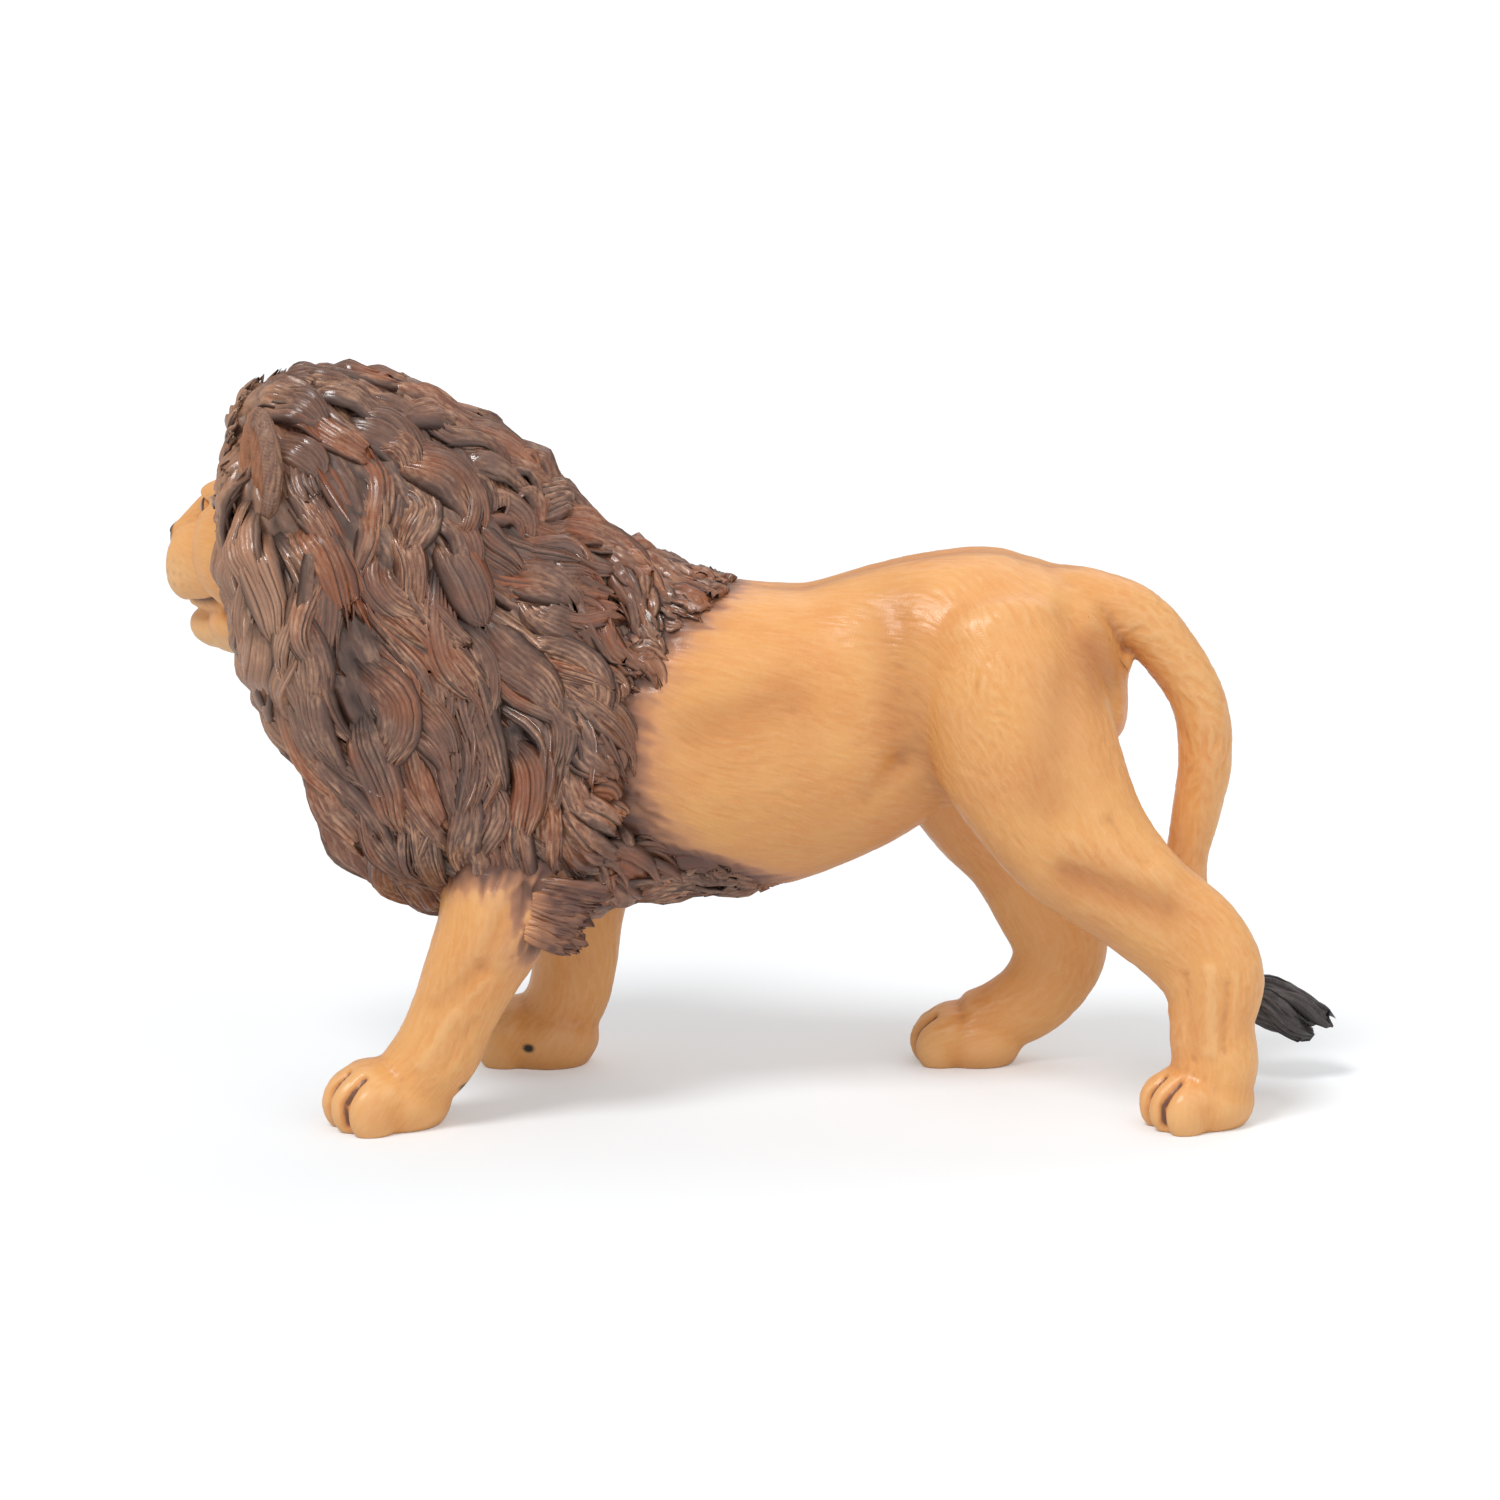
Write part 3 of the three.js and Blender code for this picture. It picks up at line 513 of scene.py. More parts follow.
# the joins of the limbs are eased, less so on the paws and hardly on the tail
points = placeOf(skinned)
onTail = smooth(6.44, 3.68, awayFrom(points, tail["path"](np.linspace(0.24, 1, 40))))
soft = mix(0.35, 1.0, smooth(9, 22, points[:, 2])) * (1 - 0.93 * onTail)
group = skinned.vertex_groups.new(name="soft")
for level in range(1, skin["softLevels"] + 1):
    chosen = np.nonzero(np.round(soft * skin["softLevels"]) == level)[0].tolist()
    group.add(chosen, level / skin["softLevels"], "REPLACE")
applied(skinned, ("SMOOTH", {"factor": 0.5, "iterations": skin["softRounds"], "vertex_group": "soft"}))
skinned.data.shade_smooth()


# which limb a point belongs to, and where its fur runs
def furHeading(points, normals):
    total = np.zeros_like(points)
    parts = [body, neck, *(leg["limb"] for leg in legs.values()), tail]
    for part in parts:
        share = np.linspace(0.1 if part is tail else 0, 1, 40)
        at, tangent, _, _ = framesOf(part, share)
        size = part["size"](share).mean(axis=1)
        off = (points**2).sum(1)[:, None] + (at**2).sum(1) - 2 * points @ at.T
        off = np.sqrt(np.maximum(off, 0)) / size
        near = off.argmin(axis=1)
        weight = np.maximum(off.min(axis=1), 0.3) ** -6
        run = tangent[near]
        if part is body:
            droop = mix(0.05, 0.45, smooth(62, 36, points[:, 2]))
            run = np.stack([np.ones(len(points)), 0 * droop, -droop], 1)
        if part is neck:
            run = -run
        total += run * weight[:, None]
    wander = noiseAt(points, 7.0) * 0.3
    total = alongSkin(total, normals)
    return unit(total + np.cross(normals, total) * wander[:, None])


hollows = {  # by side: muscles stand out and hollows sink in, by so many millimetres
    0: [
        (-6.5, 48.0, 4.5, 51.5, 2.6, -0.45),
        (-6, 58, 6, 57, 4.5, 0.35),
        (16.5, 60, 18.5, 44, 3.0, -0.9),
        (18, 43, 14, 38.5, 1.6, -0.5),
        (27, 60, 30, 48, 6.5, 0.6),
        (37.5, 60, 36.5, 46, 1.8, -0.3),
    ],
    -1: [
        (37, 31.4, 49, 27.4, 1.7, -0.5),
        (38, 35.5, 49, 31.5, 2.4, 0.35),
        (40.0, 27.0, 49, 23, 2.2, 0.3),
        (42.5, 37.8, 46.5, 33, 1.0, -0.35),
        (51.5, 19, 52.5, 9, 0.8, -0.3),
        (54.3, 20, 54.6, 10, 0.9, 0.3),
        (56.4, 18, 56.2, 10, 0.7, -0.25),
        (-30.5, 28, -31, 22.5, 3.2, 0.6),
        (-27.5, 28.5, -31.5, 20.5, 1.3, -0.35),
        (-31.5, 20, -37, 15.5, 1.3, -0.3),
        (-35, 14.5, -39, 8.5, 0.9, 0.25),
        (-32.6, 13.5, -36, 8, 0.8, -0.2),
    ],
    1: [
        (31.5, 26, 36.5, 17, 1.6, -0.6),
        (33, 33, 37, 26, 2.4, 0.4),
        (-20.5, 28, -21.5, 21, 3.0, 0.6),
        (-18.5, 26, -20, 17, 0.9, -0.4),
        (-22.5, 16, -24.5, 9, 0.8, -0.25),
    ],
}
# how far back the mane and its sprayed brown reach: heights, and X at each of them
maneEdge = (
    [24, 28, 31, 34, 38, 45, 52, 56, 59.6, 62.3, 64],
    [2.5, 1.5, -5, -11, -14.3, -15.2, -14.3, -12.4, -8.7, -5, 0],
)


def maneEnd(z):
    return np.interp(z, *maneEdge)


points = placeOf(skinned)
normals = normalsOf(skinned)
relief = sideMarks(points, normals, hollows)
spine = nearTo(points[:, [0, 1]], (2, 0), (38, 0), 1.6) * smooth(0.6, 0.95, normals[:, 2])
relief -= 0.35 * spine * smooth(55, 60, points[:, 2])
clefts = np.zeros(len(points))
for leg in legs.values():
    for across in pawShape["clefts"]:
        lead = pawShape["middleLead"] * (across == 0)
        line = [pawPoint(leg, (forward + lead, across, up)) for forward, up in pawShape["cleftLine"]]
        for start, end in zip(line, line[1:]):
            clefts = np.maximum(clefts, nearTo(points, start, end, pawShape["cleftRadius"]))
    heel = pawPoint(leg, (-0.5, 0, 0.1))
    relief -= 0.2 * nearTo(points, heel, heel, 1.5)
relief -= pawShape["groove"] * clefts
points = points + normals * relief[:, None]
movePoints(skinned, points)

normals = normalsOf(skinned)
heading = furHeading(points, normals)
haunch = smooth(12, 22, points[:, 0]) * smooth(34, 44, points[:, 2]) * smooth(66, 56, points[:, 2])
shank = smooth(34, 40, points[:, 0]) * smooth(30, 22, points[:, 2])
wrinkled = np.clip(haunch * smooth(-0.3, 0.5, noiseAt(points, 9)) + 0.6 * onTail + 0.5 * shank, 0, 1)
curl = unit(heading + np.cross(normals, heading) * (noiseAt(points, 2.4) * 1.1)[:, None])
fur = -np.abs(strands(points, heading, *skin["fur"]))
wrinkles = -np.abs(strands(points, curl, *skin["wrinkles"]))
depth = skin["furDepth"] * fur * (1 - wrinkled) + skin["wrinkleDepth"] * wrinkles * wrinkled
# the brown sprayed round the mane and on the elbows, with carved hair under it
streaks = strands(points, heading, *skin["streaks"])
fromMane = points[:, 0] - maneEnd(points[:, 2])
spray = smooth(9.0, -2.5, fromMane + 0.5 * streaks) ** 1.4
onForeleg = (points[:, 0] < -17) * smooth(33.0, 27.0, points[:, 2] + 0.45 * streaks)
spray *= 1 - onForeleg * smooth(8, 10, np.abs(points[:, 1]))
spray *= smooth(22, 24, points[:, 2])
elbows = {-1: [(-25.5, 31, -25.0, 23, 3.6, 0.9)], 1: [(-21, 31, -20.5, 23, 3.2, 0.8)]}
spray = np.maximum(spray, sideMarks(points, normals, elbows) * smooth(-2.5, 0.5, streaks))
hair = np.abs(strands(points, curl, *skin["hair"]))
depth -= skin["hairDepth"] * smooth(0.2, 0.9, spray) * hair
aboveSole = smooth(2.5, 6, points[:, 2])
points = points + normals * (aboveSole * depth)[:, None]
points[:, 2] = np.maximum(points[:, 2], 0)  # the soles are flat
movePoints(skinned, points)
print("body relief")

shading = {  # as the hollows: soft brown shadows painted on the body
    0: [
        (-6.5, 48.0, 4.5, 51.0, 3.4, 0.42),
        (17, 61, 19, 43, 3.8, 0.4),
        (36.5, 54, 35, 41, 3.6, 0.4),
        (40.5, 57, 42.5, 53, 2.6, 0.7),
    ],
    -1: [(38.0, 30.8, 49.0, 27.2, 2.6, 0.6), (-29, 25.5, -37, 15.5, 2.0, 0.22)],
    1: [(32, 26, 37, 16, 2.8, 0.7)],
}
blackSpots = [  # pads behind the wrists and a claw inside the far paw: place and half sizes
    ((-34.3, -14.5, 5.0), (0.8, 2.2, 0.8)),
    ((-17.5, 14.5, 4.8), (0.8, 2.2, 0.8)),
    ((-27.2, 7.5, 3.0), (0.8, 3.0, 0.6)),
]
cavity = cavityOf(skinned, rounds=14)
shade = sideMarks(points, normals, shading)
shade += 0.5 * nearTo(points[:, [0, 1]], (4, 0), (37, 0), 2.8) * smooth(0.5, 1.0, normals[:, 2])
# painted shade on the faces turned down
shade += 0.35 * smooth(-0.2, -0.9, normals[:, 2]) * smooth(8, 20, points[:, 2])
claws = [
    np.exp(-((np.linalg.norm((points - place) / half, axis=1)) ** 2)) for place, half in blackSpots
]
paint(
    skinned,
    spray=np.clip(spray, 0, 1),
    shade=np.clip(shade, 0, 1),
    cavity=cavity,
    # painted shade: dark brown in the clefts between the toes where they lie deep
    cleft=clefts * smooth(0.1, 0.35, cavity),
    claws=np.max(claws, axis=0),
    tailEnd=onTail * smooth(24, 12, points[:, 2]),
    run=heading,
)
hidden = points[:, 0] < maneEnd(points[:, 2]) - skin["hiddenFrom"]
hidden &= points[:, 2] > skin["hiddenAbove"]
group = skinned.vertex_groups.new(name="hidden")
group.add(np.nonzero(hidden)[0].tolist(), 1.0, "REPLACE")
thinning = {"ratio": skin["underMane"], "vertex_group": "hidden", "vertex_group_factor": 1000}
applied(skinned, ("DECIMATE", thinning))


regions = {  # which part of the skin belongs to each moulding, by height and along the lion
    "legReach": 1.35,  # of a limb's thickness, within which the skin belongs to it
    "tailReach": 1.6,
    "pawTop": 9,  # all skin below this height belongs to a leg
    "midLength": 8,  # between the forelegs and the hind legs
    "midWidth": 0.6,  # left and right of the middle, where no leg reaches
    "aboveSeam": 12,
    "tailStart": 40,
}


# whether each place is near enough to a limb to belong to it
def nearLimb(middles, part, start, reach):
    share = np.linspace(start, 1, 40)
    size = part["size"](share).max(axis=1) * reach
    gaps = [np.linalg.norm(middles - p, axis=1) / r for p, r in zip(part["path"](share), size)]
    return np.min(gaps, axis=0) < 1


def legRegion(leg):
    def region(middles):
        seam = leg["limb"]["path"](leg["seam"])[0]
        x, y, z = middles.T
        near = nearLimb(middles, leg["limb"], leg["seam"], regions["legReach"]) | (z < regions["pawTop"])
        own = (y * leg["side"] > regions["midWidth"]) & ((x < regions["midLength"]) == (leg["root"] < 0))
        return near & own & (z < seam[2] + regions["aboveSeam"])

    return region


def tailRegion(middles):
    near = nearLimb(middles, tail, 0.16, regions["tailReach"])
    return near & (middles[:, 0] > regions["tailStart"])


seams = {name: (leg["limb"], leg["seam"], legRegion(leg)) for name, leg in legs.items()}
seams["tail"] = (tail, 0.17, tailRegion)
bm = bmesh.new()
bm.from_mesh(skinned.data)
skinTree = BVHTree.FromBMesh(bm)
for part, share, region in seams.values():
    at, tangent, _, _ = framesOf(part, share)
    middles = np.array([f.calc_center_median() for f in bm.faces]) / mm
    close = region(middles) & (np.abs((middles - at[0]) @ tangent[0]) < 1.5)
    faces = [f for f, chosen in zip(bm.faces, close) if chosen]
    geom = list({e for f in faces for e in (*f.verts, *f.edges)}) + faces
    bmesh.ops.bisect_plane(
        bm, geom=geom, dist=1e-7, plane_co=Vector(at[0]) * mm, plane_no=Vector(tangent[0])
    )
bm.to_mesh(skinned.data)
bm.free()
middles = readFrom(skinned.data.polygons, "center", 3) / mm
taken = np.zeros(len(middles), bool)
bodyPieces = {}
for name, (part, share, region) in seams.items():
    at, tangent, _, _ = framesOf(part, share)
    bodyPieces[name] = region(middles) & ((middles - at[0]) @ tangent[0] > 0) & ~taken
    taken |= bodyPieces[name]
bodyPieces["torso"] = ~taken


# what skinTree finds nearest to a place: the point on the skin and its normal
def onSkin(place):
    near, normal, _, _ = skinTree.find_nearest(Vector(place * mm))
    return np.array(near) / mm, np.array(normal)


# a closed piece of the skin: the faces that it keeps, with their open edge capped
def cutOut(name, keep):
    bm = bmesh.new()
    bm.from_mesh(skinned.data)
    bmesh.ops.delete(bm, geom=[f for f, stays in zip(bm.faces, keep) if not stays], context="FACES")
    rim = [e for e in bm.edges if e.is_boundary]
    for e in rim:
        e.smooth = False
    bmesh.ops.holes_fill(bm, edges=rim, sides=0)
    bmesh.ops.triangulate(bm, faces=[f for f in bm.faces if len(f.verts) > 4])
    return objectFrom(name, bm)


leaf = {  # one lock of hair: strands side by side that draw together at its tip
    "under": 4,  # columns of faces on its underside
    "width": ([0, 0.12, 0.3, 0.6, 0.82, 0.94, 1], [0.4, 0.75, 1.0, 0.92, 0.58, 0.26, 0.03]),
    "depth": ([0, 0.2, 0.45, 0.75, 1], [0.3, 0.85, 1.0, 0.7, 0.15]),
    "groove": 0.15,  # depth between two strands
    "deepShare": 0.25,  # grooves that are cut deeper
    "deepCut": 3.0,  # how many times as deep
    "lobe": 0.32,  # height of the two or three broad ridges along a lock
    "retreat": 0.3,  # how far a strand may end before the tip of its lock
    "bend": 0.2,  # sideways wander of the strands
    "roll": 0.4,  # how far a lock may lean to one side
}


# an object of locks, one along each middle line, with its strands carved into it
def leafLocks(name, paths, widths, depths, strandCount, ringCount, taper=leaf["width"]):
    lines, outs, runs = paths
    count, columns = len(lines), 3 * strandCount
    segments = columns + leaf["under"]
    tube = unitTube(segments, ringCount)
    shape = np.array([v.co for v in tube.verts])
    template = meshFrom("leaf", tube)
    hair = bmesh.new()
    for _ in range(count):
        hair.from_mesh(template)
    bpy.data.meshes.remove(template)
    obj = objectFrom(name, hair)

    turn = np.arctan2(shape[:, 1], shape[:, 0]) / (2 * math.pi) * segments
    column = np.round(turn).astype(int) % segments
    column = np.where(np.hypot(shape[:, 0], shape[:, 1]) < 0.5, columns // 2, column)
    top = column <= columns
    off = np.where(top, 1 - 2 * column / columns, 2 * (column - columns) / leaf["under"] - 1)
    edge = np.abs(off)
    groove = top & (column % 3 == 0)
    strand = np.clip(((1 - off) / 2 * strandCount).astype(int), 0, strandCount - 1)
    beside = np.clip(strand - groove, 0, strandCount - 1)
    ends = chance.uniform(0, 1, (count, strandCount))
    rises = chance.uniform(0.1, 1.3, (count, strandCount))
    cuts = np.where(chance.random((count, strandCount)) < leaf["deepShare"], leaf["deepCut"], 1.0)
    phase = chance.uniform(0, 6.3, (count, 1))
    way = np.broadcast_to(shape[:, 2] + 0.5, (count, len(shape)))
    back = np.maximum(ends[:, strand], ends[:, beside])
    way = way * (1 - leaf["retreat"] * back * smooth(0.4, 1, way))

    width = widths[:, None] * np.interp(way, *taper)
    depth = depths[:, None] * np.interp(way, *leaf["depth"])
    dome = np.where(top, (1 - edge**2) ** 0.8, -0.4 * (1 - edge**2))
    dome = dome * (1 + 0.25 * np.sin(way * 9 + phase * 3))
    relief = np.where(groove, -cuts[:, strand], 0.7 * rises[:, strand])
    relief = relief * leaf["groove"] + leaf["lobe"] * np.cos(off * 5 + phase)
    relief = relief * (1 - edge**8) * top * np.clip(width / 1.8, 0.25, 1)
    over = off + leaf["bend"] * np.sin(way * 6 + phase) * (1 - off**2)

    steps = lines.shape[1] - 1
    knot = np.minimum((way * steps).astype(int), steps - 1)
    rest = (way * steps - knot)[..., None]
    lock = np.arange(count)[:, None]
    at, out, run = (mix(rows[lock, knot], rows[lock, knot + 1], rest) for rows in (lines, outs, runs))
    lean = chance.uniform(-leaf["roll"], leaf["roll"], (count, 1, 1)) * smooth(0, 0.3, way)[..., None]
    across = unit(np.cross(out, run) + out * lean)
    out = np.cross(run, across)
    placed = at + across * (over * width)[..., None] + out * (depth * dome + relief)[..., None]
    movePoints(obj, placed.reshape(-1, 3))
    obj.data.shade_smooth()
    # painted shade: the grooves between the strands are painted darker, the deeper cuts most
    grooveShade = np.where(groove, np.clip(0.5 * cuts[:, strand], 0, 1), 0) * (1 - edge**8)
    # painted shade: darker at the edges and roots of each lock, where its neighbours overlap it, and on
    # its underside
    deep = np.maximum(smooth(0.6, 1.0, edge) * 0.9 + 0 * way, smooth(0.3, 0.02, way))
    deep = np.where(top, deep, 1.0 - 0.8 * smooth(0.6, 0.9, way))
    tone = 0.7 * chance.uniform(0, 1, (count, 1)) + 0.3 * ends[:, strand]
    paint(obj, groove=grooveShade.ravel(), deep=deep.ravel(), tone=tone.ravel(), run=run.reshape(-1, 3))
    return obj


# middle lines bent from roots to tips, with a sideways swing
def bentLocks(roots, tips, outs, swing, rise=0.6, knots=13):
    roots, tips, outs = (np.array(rows, float)[:, None] for rows in (roots, tips, outs))
    share = np.linspace(0, 1, knots)[None, :, None]
    across = unit(np.cross(outs, tips - roots))
    sway = np.array(swing, float)[:, None, None]
    lines = mix(roots, tips, share) + across * np.sin(share * 5) * sway
    lines = lines + outs * np.sin(share * math.pi) * rise
    runs = unit(np.gradient(lines, axis=1))
    return lines, np.broadcast_to(outs, lines.shape), runs


head = {
    "length": 32.0,
    "width": 23.0,
    "height": 27.0,
    "turn": 30,  # degrees towards the lion's right
    "voxel": 0.24,
    "eyeRadius": 1.65,
    "eyePlace": (0.345, 0.2, 0.06),
    "look": (0.93, 0.36, 0.02),  # of the left eye, in the head's own axes
    "fur": (0.5, 1.2),  # as on the body
    "furDepth": 0.03,
}
headScale = np.array([head["length"], head["width"], head["height"]])
headTurn = np.array(Matrix.Rotation(math.radians(180 - head["turn"]), 3, "Z"))


def headPart(shares, side=1):
    return np.array(shares, float) * headScale * (1, side, 1)


# from the head's own axes to the figure's
def onHead(points):
    return points @ headTurn.T + headMiddle


ear = {
    "height": 13.8,
    "width": 7.4,
    "thickness": 4.0,
    "place": (-0.1, 0.67, 0.35),
    "facing": (0.42, 0.9, 0.05),
    "leaning": (0.2, 0.0, 1.0),
    "clear": 2.1,  # hair keeps this far from its middle line
    "voxel": 0.22,
    "fur": (0.6, 1.5),
    "furDepth": 0.12,
    "bowl": 1.0,
}
mane = {
    "length": 62.0,
    "height": 60.0,
    "width": 43.0,
    "crown": 90.0,
    "sunk": ([0, 0.5, 0.75, 1], [0.8, 0.95, 2.1, 4.5]),  # the base lies this far under the skin
    "sunkAtEar": 1.3,
    "fullness": 0.86,
    "lift": ([0, 0.2, 0.5, 0.75, 1], [-1.8, -0.4, 0.5, 0.35, -0.7]),  # of a lock, root to tip
    "sway": 0.85,
    "swing": 4.4,  # of the sway along a lock, in radians
    "billow": 1.4,  # height of the broad swells of the hair
    "billowCell": 8.5,
    "grain": (1.3, 2.2),  # as the fur of the body, and its depth on the base
    "grainDepth": 0.4,
    # along, middle height, half height, half width, rise along, turn, middle across, lean
    "rings": [
        (-0.915, 0.785, 0.29, 0.325, -0.02, 20, -0.02, -0.05),
        (-0.87, 0.765, 0.345, 0.445, 0.015, 17, -0.05, -0.05),
        (-0.79, 0.72, 0.39, 0.485, 0.045, 10, -0.04, 0.02),
        (-0.69, 0.655, 0.445, 0.485, 0.075, 5, -0.02, 0.12),
        (-0.585, 0.602, 0.47, 0.47, 0.085, 0, 0, 0.22),
        (-0.47, 0.567, 0.428, 0.45, 0.055, 0, 0, 0.24),
        (-0.34, 0.537, 0.393, 0.405, 0.028, 0, 0, 0.2),
        (-0.2, 0.522, 0.362, 0.345, 0.01, 0, 0, 0.1),
        (-0.065, 0.508, 0.308, 0.3, 0, 0, 0, 0),
        (0.04, 0.5, 0.26, 0.25, 0, 0, 0, 0),
    ],
}
rings = np.array(mane["rings"])
none = np.zeros(len(rings))
along, middleUp, halfUp, halfAcross, riseAlong, turn, middleAcross, lean = rings.T
along, riseAlong = along * mane["length"], riseAlong * mane["length"]
maneMiddle = spline(np.stack([along, middleAcross * mane["width"], middleUp * mane["crown"]], 1))
maneRise = spline(np.stack([riseAlong, none, halfUp * mane["height"]], 1))
yaw = np.radians(turn)
maneLeft = spline(
    np.stack([-np.sin(yaw), -np.cos(yaw), none], 1) * halfAcross[:, None] * mane["width"]
)
maneLean = spline(np.stack([lean, none, none], 1))


# the outer skin of the mane, by way from face to rear, angle from the crown down, side and lift;
# side 1 is the lion's left, as on the head
def maneSkin(way, angle, side, lift=0.0):
    middle, rise, left = maneMiddle(way), maneRise(way), maneLeft(way)
    lean = maneLean(way)[:, :1]
    cosine, sine = np.cos(angle)[:, None], np.sin(angle)[:, None]
    side, lift = (np.asarray(value, float).reshape(-1, 1) for value in (side, lift))
    outward = unit(rise) * cosine + unit(left) * side * sine
    full = np.sign(sine) * np.abs(sine) ** mane["fullness"]
    return middle + rise * cosine + left * side * full * (1 - lean * cosine) + outward * lift


def billowAt(points):
    return mane["billow"] * noiseAt(points, mane["billowCell"])


upEar = unit(np.array(ear["leaning"])) * np.linspace(-5.5, 6.0, 12)[:, None]
earLines = onHead(np.concatenate([headPart(ear["place"], side) + upEar for side in both]))


def placeMane(z, turn, radius):
    side = np.sign(turn) + (turn == 0)
    rim = maneSkin(z, np.abs(turn), side)
    nearEar = smooth(8, 4, awayFrom(rim, earLines))
    sunk = np.interp(z, *mane["sunk"]) + mane["sunkAtEar"] * nearEar
    rim = maneSkin(z, np.abs(turn), side, 0.5 * billowAt(rim) - sunk)
    return mix(maneMiddle(z), rim, radius[:, None])


# the way hair runs over the mane: back along the crown, down over the sides, back under the breast
def hairRun(way, angle):
    sine = np.abs(np.sin(angle))[:, None] ** 0.7
    crown, breast = np.array([1, 0, -0.35]), np.array([0.8, 0, -0.6])
    flat = np.where(np.cos(angle)[:, None] > 0, crown, breast)
    face = smooth(0.12, 0.0, way)[:, None]
    rear = smooth(0.4, 0.9, way)[:, None]
    downSide = mix(np.array([0.22, 0, -1.0]), np.array([0.75, 0, -1.0]), rear)
    downSide = mix(downSide, np.array([0.5, 0, -0.9]), face)
    belly = smooth(1.9, 2.5, angle)[:, None] * rear
    downSide = mix(downSide, np.array([1, 0, -0.4]), belly)
    return unit(mix(flat, downSide, sine))


# walks over the skin from each root and gives the middle line, outward and run of each lock
def hairPaths(way, angle, side, size, sway, phase, lifts, steps=16):
    small = 1e-3
    lines, outs, runs = [], [], []
    for along in np.linspace(0, 1, steps + 1):
        here = maneSkin(way, angle, side)
        ahead, behind = (maneSkin(way + d, angle, side) for d in (small, -small))
        below, above = (maneSkin(way, angle + d, side) for d in (small, -small))
        byWay, byAngle = (ahead - behind) / (2 * small), (below - above) / (2 * small)
        lift = np.interp(along, *mane["lift"]) * lifts + billowAt(here)
        out = unit(np.cross(byAngle, byWay) * side[:, None])
        run = alongSkin(hairRun(way, angle), out)
        run = unit(run + np.cross(out, run) * (sway * np.sin(phase + along * mane["swing"]))[:, None])
        lines.append(here + out * lift[:, None])
        outs.append(out)
        runs.append(run)
        step = run * (size / steps)[:, None]
        a, b, c = (byWay**2).sum(1), (byWay * byAngle).sum(1), (byAngle**2).sum(1)
        p, q = (step * byWay).sum(1), (step * byAngle).sum(1)
        det = np.maximum(a * c - b * b, 1e-6)
        way = np.clip(way + (p * c - q * b) / det, 0.0, 0.99)
        angle = np.clip(angle + (q * a - p * b) / det, -0.05, math.pi + 0.05)
    return np.stack(lines, 1), np.stack(outs, 1), np.stack(runs, 1)


barrel = {"start": -20, "bottom": 36, "betweenLegs": 9}  # the part of the body free of legs


# hair that would run inside the body lies on its skin instead
def laidOnBody(lines, outs):
    lines, outs = lines.copy(), outs.copy()
    for index in np.ndindex(lines.shape[:2]):
        near, normal = onSkin(lines[index])
        clearOfLegs = near[2] > barrel["bottom"] or abs(near[1]) < barrel["betweenLegs"]
        onBarrel = near[0] > barrel["start"] and clearOfLegs
        over = 0.15 - 0.45 * smooth(0.7, 1, index[1] / (lines.shape[1] - 1))
        if onBarrel and (lines[index] - near) @ normal < over:
            lines[index] = near + normal * over
            outs[index] = normal
    return lines, outs


locks = {
    "rows": [  # ways of the rows of roots
        *(0.0, 0.03, 0.07, 0.12, 0.18, 0.25, 0.32, 0.39, 0.46, 0.53),
        *(0.59, 0.65, 0.7, 0.75, 0.79, 0.83, 0.87, 0.905, 0.94),
    ],
    "length": ([0, 0.1, 0.3, 0.6, 0.8, 0.95], [12, 16, 21, 17, 10, 8]),
    "width": ([0, 0.1, 0.3, 0.6, 0.8, 0.95], [3.2, 4.2, 4.8, 3.8, 2.5, 2.0]),
    "onCrown": (0.75, 1.2),  # length and width on the crown against the sides
    "spacing": 0.62,  # of the width, from lock to lock round the mane
    "thickness": 0.22,  # half thickness, of the width
    "small": 0.62,  # way from which a lock has fewest strands
    "broad": 2.1,  # half width from which a lock has most
    "room": 2.5,  # from the root to the mane's end, below which there is no lock
    "sunk": (0.2, 1.4, 1.0),  # everywhere, near the ears and on the crown
}
ways, angles, sides = [], [], []
for row, way in enumerate(locks["rows"]):
    turn = np.linspace(0, math.pi, 40)
    ring = maneSkin(np.full(40, way), turn, np.ones(40))
    around = np.linalg.norm(np.diff(ring, axis=0), axis=1).sum()
    count = round(around / (locks["spacing"] * np.interp(way, *locks["width"])))
    start = 0.25 if row % 2 else 0.75
    for side in both:
        share = (np.arange(count) + start + chance.uniform(-0.25, 0.25, count)) / count
        ways.append(way + chance.uniform(-0.022, 0.022, count) * (row > 0))
        angles.append(math.pi * mix(0.01, 0.96, share))
        sides.append(np.full(count, side))
ways, angles, sides = (np.concatenate(rows) for rows in (ways, angles, sides))
ways = np.clip(ways, 0, 0.95)
count = len(ways)
onCrown = smooth(1.3, 0.7, angles)
widths = np.interp(ways, *locks["width"]) * 2 ** chance.uniform(-0.7, 0.6, count)
sizes = np.interp(ways, *locks["length"]) * chance.uniform(0.8, 1.25, count)
sizes *= mix(1, locks["onCrown"][0], onCrown)
widths *= mix(1, locks["onCrown"][1], onCrown) / 2
roots = maneSkin(ways, angles, sides)
room = maneEnd(roots[:, 2]) - roots[:, 0] + 3 * smooth(38, 32, roots[:, 2])
sizes *= np.clip((room - 0.5) / 9, 0.35, 1)
phase = noiseAt(roots, 15.0) * 5 + chance.uniform(-0.7, 0.7, count)
sway = chance.uniform(-0.5, 0.5, count) + np.clip(noiseAt(roots + 40, 12.0) * 3, -1, 1)
lifts = chance.uniform(0.4, 1.5, count) * np.clip(widths / 2.4, 0.4, 1)
lines, outs, runs = hairPaths(ways, angles, sides, sizes, mane["sway"] * sway, phase, lifts)
earAway = np.linalg.norm(lines[:, :, None] - earLines, axis=3).min(axis=2)
stays = (room > locks["room"]) & (earAway.min(axis=1) > ear["clear"])
everywhere, atEar, atCrown = locks["sunk"]
